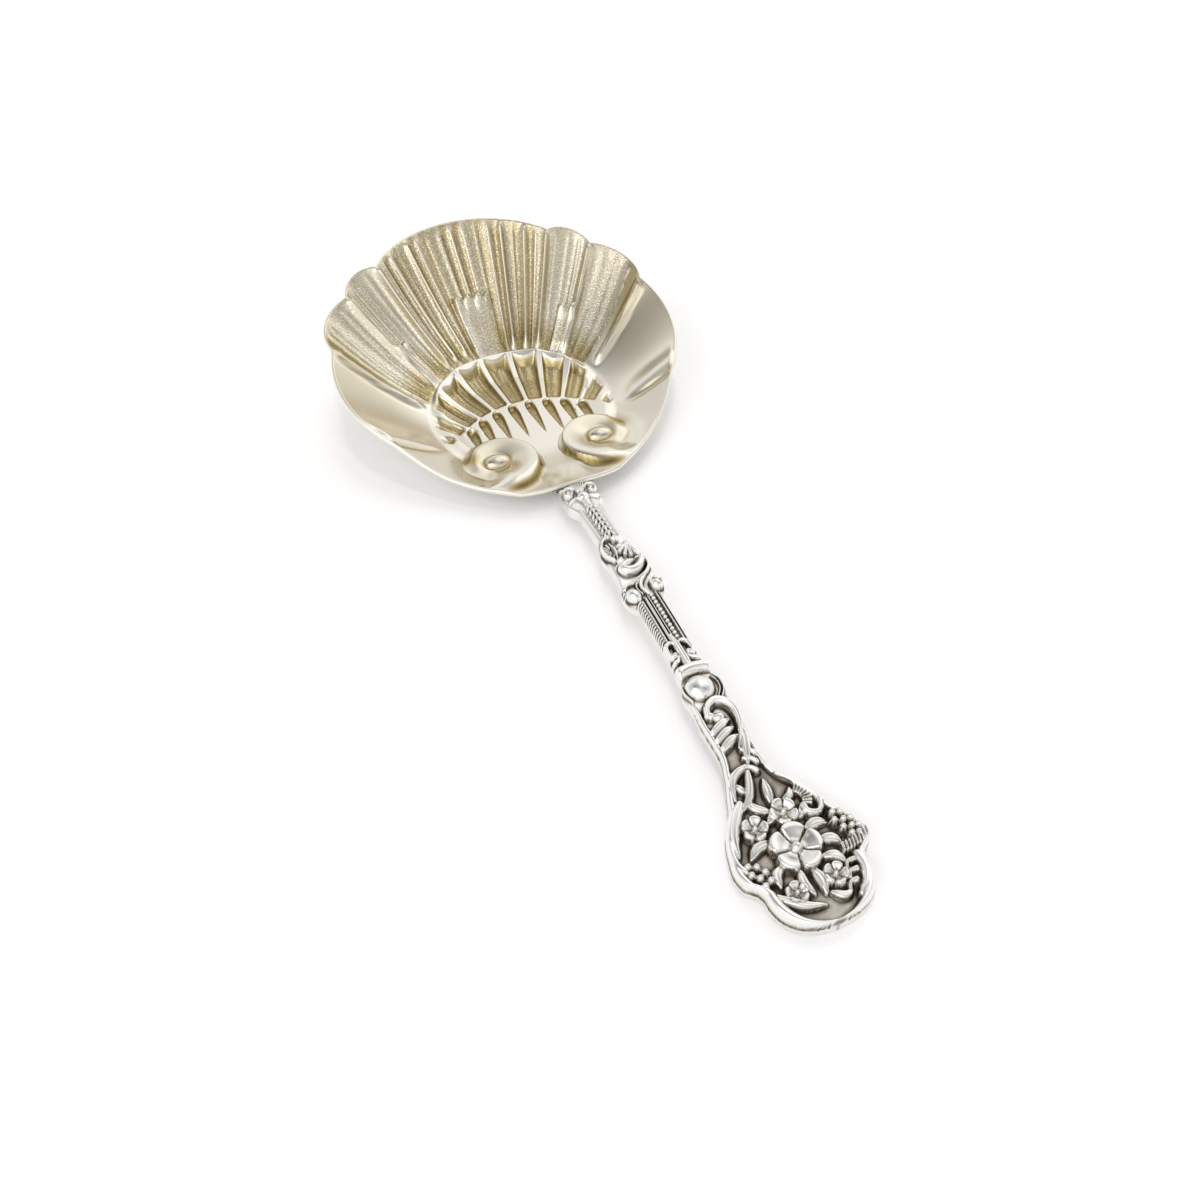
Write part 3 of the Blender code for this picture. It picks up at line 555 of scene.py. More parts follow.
def with_volutes(spot, ground):
    """The ground with a volute on either side of the stem: a crest winds in round a low eye, with a rounded
    flank outside it and a shallow dish, level at the crest, from it down to the eye."""
    turn = volute_winding(spot)
    crest = smooth_curve(turn.wound, VOLUTE_MARKS, VOLUTE_CRESTS)
    base = bowl_base(spot)
    started = smooth_step(turn.wound / TAIL_RUN)
    out = np.clip((turn.reach - turn.radius) / (FLANK_REACH * turn.flank), 0.0, 1.0)
    outside = ground + np.maximum(crest - ground, 0.0) * (1 - out**2) ** FLANK_POWER * started
    inwards = np.clip((turn.radius - turn.reach) / (turn.radius - EYE_RADIUS), 0.0, 1.0)
    dish = EYE_LEVEL + (crest - EYE_LEVEL) * (1 - inwards**2)
    off = np.clip((turn.reach - VOLUTE_RADII[-1]) / VOLUTE_FLANKS[-1], 0.0, 1.0)
    mound = base + (EYE_LEVEL - base) * (1 - off**2)
    eye = EYE_RISE * np.maximum(1 - (turn.from_eye / EYE_RADIUS) ** 2, 0.0) ** ROUND
    return np.where(turn.reach < turn.radius, mound + (dish - mound) * started + eye, outside)


def bowl_inside(spot):
    """Height of the embossed inside."""
    return with_volutes(spot, bowl_base(spot) + wall_relief(spot) + fan_relief(spot))


def bowl_back(spot):
    """Height of the bowl's back, where the embossing shows through, softened, except over the handle's
    tongue; it stays a thin sheet below the inside, and above the table."""
    base = bowl_base(spot)
    shown = WALL_SHOWS * wall_relief(spot) + FAN_SHOWS * fan_plateau(spot)
    shown = shown - POCKETS_SHOW * POCKET_DEPTH * pocket_cuts(spot)[1]
    shown = shown + VOLUTES_SHOW * np.maximum(with_volutes(spot, base) - base, 0.0)
    clear = smooth_step((np.abs(spot.x) - 3.6) / 1.5 + rise(spot.y, 8.0 - HEEL_REACH, 2.0))
    shown = shown * clear * fall(spot.share, 1.0, 0.1)
    return np.maximum(np.minimum(bowl_underside(spot) + shown, bowl_inside(spot) - LEAST_SHEET), 0.0)


def on_flutes(spot):
    """1 on the fluted wall, 0 on the floor, at the lip and on the plain petals."""
    up = rise(spot.radius, FAN_RADIUS - 0.3, 0.6) * fall(spot.share, 1.0, 0.03)
    return fall(spot.ray, FLUTED[-1][1] + 3, 5) * up


def ridge_polish_and_highlight(spot):
    """1 on the crests of the ridges, which wear bright and carry a painted highlight, and 0 between them."""
    crests = [lobe_ridge(spot, angle) for angle, _ in RIDGES]
    return np.maximum.reduce((rise(flute_ridge(spot), 0.7, 0.35), *crests))


def open_pockets(spot):
    """The pockets' insides and edges, where no volute covers them."""
    inside, _ = pocket_cuts(spot)
    plateau = bowl_base(spot) + FAN_RISE
    shown = (fan_plateau(spot) > 0.5 * FAN_RISE) & (with_volutes(spot, plateau) < plateau + 0.05)
    return inside * shown, 4 * inside * (1 - inside) * shown


def flute_tone_and_painted_light(spot):
    """Tone of the fluted wall: its own gold, with painted shade in the channels, more so low on the wall,
    less on the side lobes and a painted highlight towards the lip there; on the short lobes, painted shade
    only on their lower part away from the light and along their edges near the ends; and pale on the crests."""
    # Painted shade in the channels and low on the wall by the fan, over the wall's own tone
    low = 1 - rise(spot.radius, FAN_RADIUS, LOW_WALL)
    channel = WALL_GOLD + CHANNEL_SHADE * np.clip(1 - 1.1 * flute_ridge(spot), 0.0, 1.0) + LOW_WALL_SHADE * low
    # Painted highlight on the side lobes, strongest towards the lip
    channel *= 1 - 0.15 * rise(spot.ray, NOTCHES[0].angle - 1, 3) - 0.8 * upper_sides(spot)
    # On the short lobes, painted shade on the lower part away from the light and along the edges near the
    # ends
    for lobe, across, _, mask in short_lobe_masks(spot):
        top = rise(spot.radius, lobe.reach - 3.5, 3.5)
        lit = rise(-across, 0.35, 0.4)
        on_lobe = SHORT_LOBE_SHADE * (1 - top) * (1 - lit)
        channel = channel * (1 - mask) + mask * on_lobe + SHORT_LOBE_EDGE_SHADE * mask * (1 - mask) * top
    # The crests are kept pale, partly by wear and partly as a painted highlight
    return on_flutes(spot) * channel * (1 - 0.9 * ridge_polish_and_highlight(spot))


def volute_painted_shade(spot):
    """Painted shade round the volutes' eyes, at the foot of their outer sides and in their dishes, and a
    painted dark reflection on their flanks by the stem."""
    turn = volute_winding(spot)
    round_eye = hump(turn.from_eye - EYE_RADIUS - 0.1, 0.35)
    foot = hump(np.hypot(turn.dx - 3.7, turn.dy - 1.9), 1.6)
    dish = fall(turn.reach, 5.5, 1.5)
    by_stem = rise((-0.6 * turn.dx - 0.8 * turn.dy) / np.maximum(turn.reach, 1.0), 0.6, 0.3)
    flank = by_stem * hump(turn.reach - turn.radius - 0.75 * turn.flank, 0.25 * turn.flank + 0.15)
    return np.maximum.reduce((EYE_SHADE * round_eye, FOOT_SHADE * foot, DISH_SHADE * dish, FLANK_DARK_REFLECTION * flank))


def volute_polish(spot):
    """1 on the volutes' flanks and eyes, which are burnished, and 0 elsewhere."""
    turn = volute_winding(spot)
    out = (turn.reach - turn.radius) / turn.flank
    return np.maximum(rise(out, -0.7, 0.4) * fall(out, 1.4, 0.3), fall(turn.from_eye, EYE_RADIUS + 0.2, 0.4))


def heel_stain(spot):
    """Depth of the blotches left on the heel by the soldering: two waves, each bent by another."""
    across = np.sin(1.3 * spot.x + 0.6 * spot.y + 1.8 * np.sin(0.9 * spot.y - 0.7 * spot.x))
    along = np.sin(0.7 * spot.x - 1.1 * spot.y + 1.5 * np.sin(1.2 * spot.x + 0.4 * spot.y))
    on_heel = hump(spot.x + 2.0, 3.2) * rise(spot.share, 0.4, 0.35) * (spot.y < 0)
    return (0.5 + 0.5 * across * along) * on_heel


def tone_and_painted_light_in_bowl(spot):
    """How brown the bowl's inside is toned: painted shade in the pockets, most at their edges; the fluted
    wall's tone with its painted shade and highlights; painted shade and a painted dark reflection about the
    volutes; painted shade by the notch and in the fold; the petals' own gold tone beside the flutes; and the
    stain on the heel."""
    inside, edge = open_pockets(spot)
    by_notch = hump(spot.ray - NOTCHES[2].angle + 3, 3) * rise(spot.share, 0.4, 0.4)
    past, shown = petal_fold(spot)
    petal = fall(spot.ray, 97, 25) * rise(spot.share, 0.2, 0.5)
    # The petals' own tone, with painted shade by the notch and in the fold
    plain = PETAL_GOLD * petal + NOTCH_SHADE * by_notch + FOLD_SHADE * hump(past, FOLD_WIDTH) * shown
    # Painted shade in the pockets, most at their edges
    pockets = POCKET_SHADE * inside + POCKET_EDGE_SHADE * edge
    stain = HEEL_GOLD * heel_stain(spot)
    return np.maximum.reduce((pockets, flute_tone_and_painted_light(spot), plain, volute_painted_shade(spot), stain))


def satin_in_bowl(spot):
    """How sandy the bowl's inside is: on the flutes, off their ridges, and in the pockets."""
    wall = on_flutes(spot) * (1 - 0.85 * ridge_polish_and_highlight(spot)) * (1 - 0.35 * upper_sides(spot))
    return np.maximum(wall, 0.7 * open_pockets(spot)[0])


def brushed_in_bowl(spot):
    """How matt the bowl's inside is: on the plain petals beside the heel, and less than plain on the
    volutes."""
    petal = rise(spot.ray, NOTCHES[3].angle, 6) * rise(spot.share, 0.1, 0.2)
    return petal * rise(volute_winding(spot).reach, 6.5, 1.5) - 0.5 * volute_polish(spot)


def spoke_angles():
    """Angles of the bowl's spokes on the right, then the left, closer together over the flutes."""
    ends = (0.0, *(notch.angle for notch in NOTCHES), 180.0)
    runs = [np.linspace(a, b, n, endpoint=False) for a, b, n in zip(ends, ends[1:], SPOKES)]
    right = np.concatenate(runs)
    return np.concatenate((right, [180.0], -right[:0:-1]))


def even_rings(start, end, samples, count):
    """Plans of rings between two rings, set along each spoke at even lengths of the embossed surface."""
    share = np.linspace(0, 1, samples)[:, None]
    x, y = start[:, None] + (end - start)[:, None] * share
    steps = np.sqrt(sum(np.diff(side, axis=0) ** 2 for side in (x, y, bowl_inside(bowl_spot(x, y)))))
    length = np.concatenate((np.zeros((1, steps.shape[1])), np.cumsum(steps, 0)))
    marks = np.linspace(0, 1, count + 1)[1:]
    shares = [np.interp(marks * spoke[-1], spoke, share[:, 0]) for spoke in length.T]
    return [start + (end - start) * ring for ring in np.array(shares).T]


def over_plans(plans, height):
    """Rings of points over their plans, at the height of a surface."""
    return np.array([np.stack((*plan, height(bowl_spot(*plan))), 1) for plan in plans])


def bowl_grid():
    """The bowl as rings of points: from the hub out over the inside, round the lip and back under it."""
    angles = np.radians(spoke_angles())
    ray = np.stack((np.sin(angles), np.cos(angles)))
    hub = np.array(((0.0,), (-HUB_OFFSET,)))
    edge = lip_radius(spoke_angles()) - LIP_SHEET / 2
    floor = even_rings(hub + 0 * ray, ray * FAN_RADIUS, FLOOR_SAMPLES, FLOOR_RINGS)
    wall = even_rings(ray * FAN_RADIUS, ray * edge, WALL_SAMPLES, WALL_RINGS)
    inside = over_plans((*floor, *wall), bowl_inside)
    back = [ray * (FOOT_RADIUS + (edge - FOOT_RADIUS) * share) for share in np.linspace(1, 0, BACK_RINGS)]
    foot = [ray * FOOT_RADIUS * share for share in np.linspace(1, 0, FOOT_RINGS + 2)[1:-1]]
    under = over_plans((*back, *foot), bowl_back)
    middle = (inside[-1][:, 2] + under[0][:, 2]) / 2
    half = (inside[-1][:, 2] - under[0][:, 2]) / 2
    lip = []
    for turn in np.radians(np.linspace(90, -90, LIP_RINGS + 2))[1:-1]:
        plan = ray * (edge + LIP_SHEET / 2 * np.cos(turn))
        lip.append(np.stack((*plan, middle + half * np.sin(turn)), 1))
    return inside, np.array(lip), under


def half_widths(along):
    """How far the handle reaches to the left and to the right, with a round end past the last cusp."""
    places, left, right = zip(*OUTLINE)
    past = np.maximum(along - NOTCH_AT, 0.0) / (HANDLE_LENGTH - NOTCH_AT)
    end = np.maximum(1 - past**END_POWER, 0.0) ** (1 / END_POWER)
    return smooth_curve(along, places, left) * end, smooth_curve(along, places, right) * end


def tongue_top(x, along):
    """Height of the tongue's top, below the bowl's back by the solder and a gap on either side of it."""
    under_bowl = bowl_underside(bowl_spot(x, -HEEL_REACH - along * np.ones_like(x)))
    return under_bowl - SEAM_THICKNESS - 2 * JOINT_GAP


def back_height(along):
    """Height of the handle's back, lifted along the shaft and flat on the table at the end."""
    root = tongue_top(np.zeros(1), 0.0)[0] - TONGUE_ROOT
    places = (0.0, SHAFT_AT, REEDS_FROM, NECK_AT, PAD_AT, HANDLE_LENGTH)
    return smooth_curve(along, places, (root, SHAFT_BACK, SHAFT_BACK, NECK_BACK, 0.0, 0.0))


def ground_height(along):
    """Height of the plain ground that the relief stands on."""
    plate = smooth_curve(along, (0.0, NECK_AT, CARTOUCHE_WIDEST), (SHAFT_PLATE, SHAFT_PLATE, CARTOUCHE_PLATE))
    return back_height(along) + plate


def smooth_line(points, steps=12):
    """A smooth line through the points, each stretch a cubic whose ends point along their neighbours."""
    p = np.array(points, float)
    if len(p) == 2:
        return p[0] + (p[1] - p[0]) * np.linspace(0, 1, 4)[:, None]
    padded = np.concatenate(([2 * p[0] - p[1]], p, [2 * p[-1] - p[-2]]))
    t = np.linspace(0, 1, steps, endpoint=False)[:, None]
    a, b, c, d = padded[:-3, None], padded[1:-2, None], padded[2:-1, None], padded[3:, None]
    line = 0.5 * (2 * b + (c - a) * t + (2 * a - 5 * b + 4 * c - d) * t**2 + (3 * b - a - 3 * c + d) * t**3)
    return np.concatenate((line.reshape(-1, 2), p[-1:]))


class Relief:
    """A map of the handle's ornament, as heights over a grid of places along and across it."""

    def __init__(self):
        self.along = np.arange(0.0, HANDLE_LENGTH + CELL, CELL)
        self.x = np.arange(-MAP_SIDE, MAP_SIDE + CELL, CELL)
        self.height = np.zeros((len(self.along), len(self.x)))
        left, right = half_widths(self.along)
        self.edge = np.minimum(self.x + left[:, None], right[:, None] - self.x)

    def window(self, low, high):
        """The part of the map between two corners (x, along), with its places."""
        rows, columns = (
            slice(max(int((start + side) / CELL), 0), max(int((end + side) / CELL) + 2, 0))
            for start, end, side in ((low[1], high[1], 0.0), (low[0], high[0], MAP_SIDE))
        )
        along, x = np.meshgrid(self.along[rows], self.x[columns], indexing="ij")
        return (rows, columns), x, along

    def raise_to(self, part, height):
        """Lifts a part of the map to a height where it is lower."""
        self.height[part] = np.maximum(self.height[part], height)

    def band(self, points, half_width, height, ends=(1.0, 1.0), belly=0.0, crease=0.0):
        """Raises a round band along a smooth line through the points. Over a place it is the height times a
        power of one less the squared share of the place's distance from the line in the half width
        there; ends gives the width's share at either end, belly adds to it half-way, and crease sinks
        a vein along the middle."""
        line = smooth_line(points)
        widest = half_width * (max(ends) + belly)
        part, x, along = self.window(line.min(0) - widest, line.max(0) + widest)
        start, step = line[:-1], np.diff(line, axis=0)
        run = np.stack((x, along), -1)[..., None, :] - start
        share = np.clip((run * step).sum(-1) / (step * step).sum(-1), 0.0, 1.0)
        gaps = np.linalg.norm(run - share[..., None] * step, axis=-1)
        nearest = gaps.argmin(-1)[..., None]
        gap = np.take_along_axis(gaps, nearest, -1)[..., 0]
        place = (nearest + np.take_along_axis(share, nearest, -1))[..., 0] / len(step)
        size = ends[0] + (ends[1] - ends[0]) * place + 4 * belly * place * (1 - place)
        width = np.maximum(half_width * size, 1e-3)
        top = height * np.sqrt(np.maximum(size, 0.0)) * np.maximum(1 - (gap / width) ** 2, 0.0) ** ROUND
        self.raise_to(part, top * (1 - crease * hump(gap, 0.22 * width)))

    def pair(self, points, *sizes, middle=0.0, **shape):
        """Raises a band and its mirror image about a middle."""
        self.band(points, *sizes, **shape)
        self.band([(2 * middle - x, along) for x, along in points], *sizes, **shape)

    def leaf(self, points, half_width, height):
        """Raises a broad leaf along a smooth line, with a vein down its middle."""
        self.band(points, half_width, height, ends=(0.5, 0.25), belly=0.5, crease=0.2)

    def dome(self, x, along, half_x, half_along, height, turn=0.0):
        """Raises a dome on an oval, turned about the vertical."""
        size = max(half_x, half_along)
        part, map_x, map_along = self.window((x - size, along - size), (x + size, along + size))
        sine, cosine = np.sin(np.radians(turn)), np.cos(np.radians(turn))
        side, run = map_x - x, map_along - along
        across, down = (side * cosine - run * sine) / half_x, (run * cosine + side * sine) / half_along
        self.raise_to(part, height * np.maximum(1 - (across**2 + down**2), 0.0) ** ROUND)

    def rose(self, x, along, radius, height, turn=0.0):
        """Raises a five-petalled rose: broad petals, dished inside a raised edge, about a button of seeds."""
        part, map_x, map_along = self.window((x - radius, along - radius), (x + radius, along + radius))
        reach = np.hypot(map_x - x, map_along - along) / radius
        place = np.degrees(np.arctan2(map_x - x, map_along - along)) - turn
        half_petal = 36.0
        from_middle = np.abs((place + half_petal) % (2 * half_petal) - half_petal) / half_petal
        outline = 0.72 + 0.28 * np.sqrt(1 - from_middle**2)
        inside = np.clip((outline - reach) / 0.1, 0.0, 1.0) ** 0.5
        dish = 0.55 + 0.45 * rise(reach, 0.3, 0.5)
        crease = 1 - 0.5 * rise(from_middle, 0.8, 0.2)
        self.raise_to(part, height * inside * dish * crease)
        self.dome(x, along, 0.27 * radius, 0.27 * radius, 1.1 * height)

    def berries(self, places, size, height):
        """Raises a bunch of berries."""
        for x, along in places:
            self.dome(x, along, size, size, height)

    def gadroons(self, centre, inner, outer, first, last, count, half_width, height):
        """Raises a row of short reeds that radiate about a centre between two angles and two radii."""
        for angle in np.radians(np.linspace(first, last, count)):
            way = np.array((np.sin(angle), np.cos(angle)))
            self.band([centre + way * out for out in (inner, outer)], half_width, height, ends=(0.6, 1.0))

    def blurred(self, cells):
        """The map averaged over squares of that many cells either way."""
        blur = self.height
        for axis in (0, 1):
            padded = np.concatenate([np.take(blur, [0] * (cells + 1), axis), blur,
                                     np.take(blur, [-1] * cells, axis)], axis)
            total = np.cumsum(padded, axis)
            count = blur.shape[axis]
            spread = np.take(total, np.arange(2 * cells + 1, 2 * cells + 1 + count), axis)
            blur = (spread - np.take(total, np.arange(count), axis)) / (2 * cells + 1)
        return blur

    def sunk(self):
        """0 on what stands up, 1 deep between it: how far a place lies below its near and its wide
        surroundings, with more on the bare ground of the neck and the cartouche, and less by the bowl."""
        near = np.maximum(self.blurred(3) - self.height, 0.0) / 0.3
        wide = np.maximum(self.blurred(9) - self.height, 0.0) / 0.9
        along = self.along[:, None]
        on_field = rise(along, FIELD_AT, FIELD_RUN)
        ground = fall(self.height, 0.45, 0.4) * rise(self.edge, 0.5, 0.6)
        ground = on_field * (0.36 * ground + 0.1 * rise(self.edge, 0.9, 0.8))
        kept = smooth_curve(along, (0.0, 12.0, 18.0, HANDLE_LENGTH), (0.5, 0.55, 1.0, 1.0))
        return np.clip(kept * (near + wide) + ground, 0.0, 1.0)

    def sample(self, values, x, along):
        """A map's values at places between its cells, in proportion."""
        row = np.clip(along / CELL, 0, len(self.along) - 1.001)
        column = np.clip((x + MAP_SIDE) / CELL, 0, len(self.x) - 1.001)
        i, j = row.astype(int), column.astype(int)
        s, t = row - i, column - j
        upper = values[i, j] * (1 - t) + values[i, j + 1] * t
        lower = values[i + 1, j] * (1 - t) + values[i + 1, j + 1] * t
        return upper * (1 - s) + lower * s


def rolled_border(relief):
    """A rolled rim from the neck round the cartouche: a half round along the edge that widens to the end."""
    along = relief.along[:, None]
    width = smooth_curve(along, (43.0, 46.0, 58.0, 70.0, HANDLE_LENGTH), (0.3, 0.7, 0.95, 1.5, 2.0))
    height = smooth_curve(along, (43.5, 46.5, 58.0, 70.0), (0.0, 0.5, 0.75, 1.2))
    roll = np.clip(1 - (2 * relief.edge / width - 1) ** 2, 0.0, 1.0) ** 0.55
    relief.raise_to(..., np.where(relief.edge < width, height * roll, 0.0))


def shaft_rails(relief):
    """A thin thread near each edge of the upper shaft."""
    along = relief.along[:, None]
    shown = rise(along, 5.6, 1.0) * fall(along, 13.6, 0.6)
    relief.raise_to(..., 0.2 * hump(relief.edge - 0.55, 0.16) * shown)


def capital(relief):
    """A small fluted shell between two curls, over a bell that hangs down the shaft."""
    for spread in np.linspace(-1, 1, 6):
        relief.band(((0.45 * spread, 2.5), (spread, 0.8)), 0.19, 0.8)
    relief.pair(((0.95, 1.6), (1.6, 1.2), (2.3, 1.7), (2.35, 2.6), (1.75, 3.0), (1.35, 2.5)), 0.27, 0.85)
    relief.pair(((0.95, 3.5), (1.6, 3.7), (2.2, 4.1)), 0.38, 0.6, ends=(0.6, 0.8))
    relief.berries(((-1.8, 2.15), (1.8, 2.15)), 0.36, 0.8)
    relief.dome(0.0, 3.55, 1.0, 1.15, 1.05)
    relief.band(((0.0, 3.8), (0.0, 6.0)), 0.85, 0.8, ends=(1.0, 0.75))


def husk_chain(relief):
    """A chain of husks down the upper shaft, each two leaves over a bud."""
    for along in np.arange(5.7, 13.0, 1.08):
        relief.pair(((0.06, along), (0.45, along + 0.45), (0.62, along + 0.95)), 0.24, 0.72, ends=(0.6, 1.0))
        relief.dome(0.0, along + 0.6, 0.27, 0.55, 0.85)


def knot(relief):
    """A cluster of scrolls: a gadrooned C-scroll with a bead, a shell, a fat comma and curled leaves."""
    relief.dome(0.05, 14.35, 0.58, 0.58, 1.25)
    relief.band(((-0.5, 13.75), (-1.35, 14.1), (-2.05, 15.1), (-2.25, 16.2), (-2.05, 17.3), (-1.45, 18.3)),
                0.34, 1.15, ends=(0.9, 0.7))
    relief.gadroons((-0.65, 16.2), 0.75, 1.4, 190, 335, 7, 0.15, 0.75)
    relief.band(((-0.7, 15.1), (-0.55, 16.3), (-0.75, 17.5)), 0.33, 0.7, ends=(0.5, 0.5), belly=0.5)
    for tip in ((0.05, 15.9), (-0.05, 16.7), (0.45, 17.45), (1.15, 17.8), (1.85, 17.6)):
        relief.band(((1.55, 15.7), tip), 0.38, 0.95, ends=(0.7, 1.0), crease=0.3)
    relief.band(((1.3, 15.2), (1.7, 15.6), (1.75, 16.4)), 0.35, 0.9, ends=(0.5, 0.9))
    relief.band(((0.9, 19.0), (0.2, 19.2), (-0.9, 19.7), (-0.8, 20.5), (0.3, 20.8), (1.3, 20.3), (2.1, 19.3),
                 (2.3, 18.5)), 0.95, 1.35, ends=(0.3, 0.4), belly=0.5)
    relief.band(((1.5, 18.5), (2.0, 18.7), (2.2, 19.2)), 0.25, 0.8, ends=(0.5, 0.9))
    relief.band(((2.65, 19.2), (2.5, 20.6), (1.7, 21.7), (0.5, 22.4), (-0.7, 22.9), (-1.7, 23.2),
                 (-2.4, 23.8)), 0.33, 1.0, ends=(0.8, 0.7))
    relief.band(((1.2, 22.2), (0.35, 23.0), (-0.1, 24.0), (0.05, 25.0), (0.6, 26.0)), 0.34, 0.85,
                ends=(0.6, 0.5), belly=0.4, crease=0.2)
    relief.band(((0.3, 22.7), (-0.6, 23.5), (-0.75, 24.4), (-0.45, 25.2)), 0.3, 0.75, ends=(0.7, 0.5))
    relief.dome(-1.75, 25.2, 1.05, 1.35, 1.3, 15)
    relief.gadroons((-1.6, 24.6), 0.9, 1.3, 235, 310, 4, 0.14, 0.8)
    relief.dome(1.95, 24.45, 0.95, 1.05, 1.3)
    relief.band(((1.3, 23.9), (1.9, 23.4), (2.6, 23.8), (2.75, 24.6), (2.2, 25.2)), 0.26, 1.2)


def reeded_shaft(relief):
    """Reeds, a row of beads and a milled edge along the lower shaft."""
    for x, half, start in ((-1.08, 0.22, 26.6), (-0.45, 0.24, 26.2), (-0.02, 0.13, 25.8), (1.27, 0.17, 25.5)):
        relief.band(((x, start), (x, 34.4)), half, 0.5)
    relief.band(((1.72, 25.8), (1.72, 35.4)), 0.14, 0.45)
    for along in np.arange(25.9, 34.2, 0.72):
        relief.dome(0.5, along, 0.36, 0.33, 0.75)
    for along in np.arange(26.9, 35.0, 0.52):
        relief.band(((-1.85, along + 0.12), (-1.46, along - 0.12)), 0.17, 0.8)


def acanthus_husk(relief):
    """A broad leaf between two fat curls, each round a dark eye, over two beads and two short leaves."""
    relief.band(((-0.2, 33.2), (-0.2, 35.4), (-0.2, 38.4)), 0.72, 1.1,
                ends=(0.25, 0.9), belly=0.3, crease=0.15)
    relief.pair(((0.0, 34.9), (0.65, 34.6), (1.3, 35.2), (1.45, 36.3), (1.1, 37.0)), 0.46, 1.0,
                middle=-0.2, ends=(0.5, 0.9), belly=0.15)
    relief.pair(((0.3, 37.0), (0.75, 37.6), (1.3, 37.9)), 0.42, 0.95, middle=-0.2, ends=(0.6, 1.0))
    for x in (-1.15, 0.75):
        relief.dome(x, 36.75, 0.5, 0.6, 1.0)


def collar_and_boss(relief):
    """A torus across the shaft, and a smooth boss with ridges down either side."""
    relief.band(((-2.3, 39.7), (-1.4, 39.3), (-0.3, 39.15), (0.8, 39.25), (2.0, 39.6)), 0.9, 1.1)
    relief.dome(-0.4, 42.35, 1.95, 1.95, 1.5)
    for out in (2.2, 2.65):
        turns = np.radians((35, 10, -20, -50))
        ridge = np.stack((out * np.cos(turns) - 0.15, 42.5 - 1.05 * out * np.sin(turns)), 1)
        relief.band(ridge, 0.21, 0.8, ends=(0.5, 0.6))
    relief.band(((-2.35, 41.0), (-2.6, 42.4), (-2.2, 44.0)), 0.21, 0.7, ends=(0.5, 0.6))


def neck_leaves(relief):
    """Acanthus down the neck: a folded leaf under the boss, lobes on its left and leaves winding down."""
    relief.band(((-1.6, 46.8), (-1.0, 45.6), (0.2, 45.0), (1.35, 45.7), (1.9, 47.2), (1.7, 49.0), (1.0, 50.6),
                 (0.1, 52.0)), 0.6, 1.35, ends=(0.8, 0.35), belly=0.5, crease=0.12)
    relief.dome(-0.3, 47.4, 0.9, 0.8, 1.15, 25)
    relief.dome(-1.2, 46.9, 0.7, 0.6, 1.05)
    for along, reach in ((48.5, 1.95), (49.7, 1.9), (50.9, 1.75)):
        relief.band(((0.6, along - 0.5), (-0.5, along - 0.1), (-reach, along + 0.6)), 0.62, 1.1,
                    ends=(0.5, 0.9), belly=0.4, crease=0.2)
    relief.leaf(((1.7, 49.6), (1.3, 51.2), (0.7, 52.8), (0.1, 54.4)), 0.85, 1.2)
    for x, along in ((1.5, 52.9), (1.2, 54.0), (0.7, 55.1)):
        relief.band(((x - 1.3, along - 0.6), (x - 0.5, along - 0.3), (x, along + 0.3)), 0.52, 1.05,
                    ends=(0.6, 0.9))
    relief.leaf(((-0.3, 54.4), (-1.9, 55.0), (-3.0, 56.2), (-3.4, 58.0)), 0.75, 1.1)
    relief.leaf(((-0.4, 55.2), (-1.0, 56.8), (-1.9, 58.4), (-3.4, 59.6)), 0.8, 1.15)
    relief.dome(-2.2, 56.8, 0.55, 0.9, 0.75, 30)


def cartouche_scrolls(relief):
    """Scrolls inside the rim: a gadrooned C-scroll and a rope on the right, fat leafy ones on the left, and
    curls below."""
    relief.band(((2.6, 56.6), (3.9, 58.0), (5.1, 59.8), (5.8, 61.6), (5.0, 62.9), (3.8, 62.5), (3.6, 61.6)),
                0.55, 1.25, ends=(0.6, 1.1))
    relief.gadroons((3.0, 60.4), 1.1, 2.1, 55, 150, 8, 0.24, 0.95)
    relief.leaf(((-3.2, 58.6), (-4.6, 60.2), (-5.9, 62.2), (-6.4, 64.6)), 1.15, 1.3)
    relief.band(((-6.9, 64.0), (-7.1, 65.6), (-6.6, 67.0)), 0.6, 1.25, ends=(0.6, 0.7), belly=0.3)
    for share in np.linspace(0.0, 1.0, 9):
        x, along = 5.0 + 3.7 * share, 68.3 - 0.9 * share**2
        relief.band(((x - 0.12, along + 0.5), (x + 0.12, along - 0.5)), 0.24, 1.45)
    relief.band(((6.1, 69.4), (6.1, 71.2), (5.3, 72.9), (4.0, 74.0)), 0.7, 1.3, ends=(0.8, 0.6), belly=0.25)
    for x, along in ((5.4, 69.9), (5.1, 71.1), (4.4, 72.3)):
        relief.band(((x, along), (x - 0.8, along + 0.05), (x - 1.2, along + 0.7)), 0.5, 1.05, ends=(1.0, 0.6))
    relief.leaf(((-5.3, 70.4), (-3.9, 71.8), (-2.2, 73.0), (-0.2, 73.6)), 0.8, 1.2)


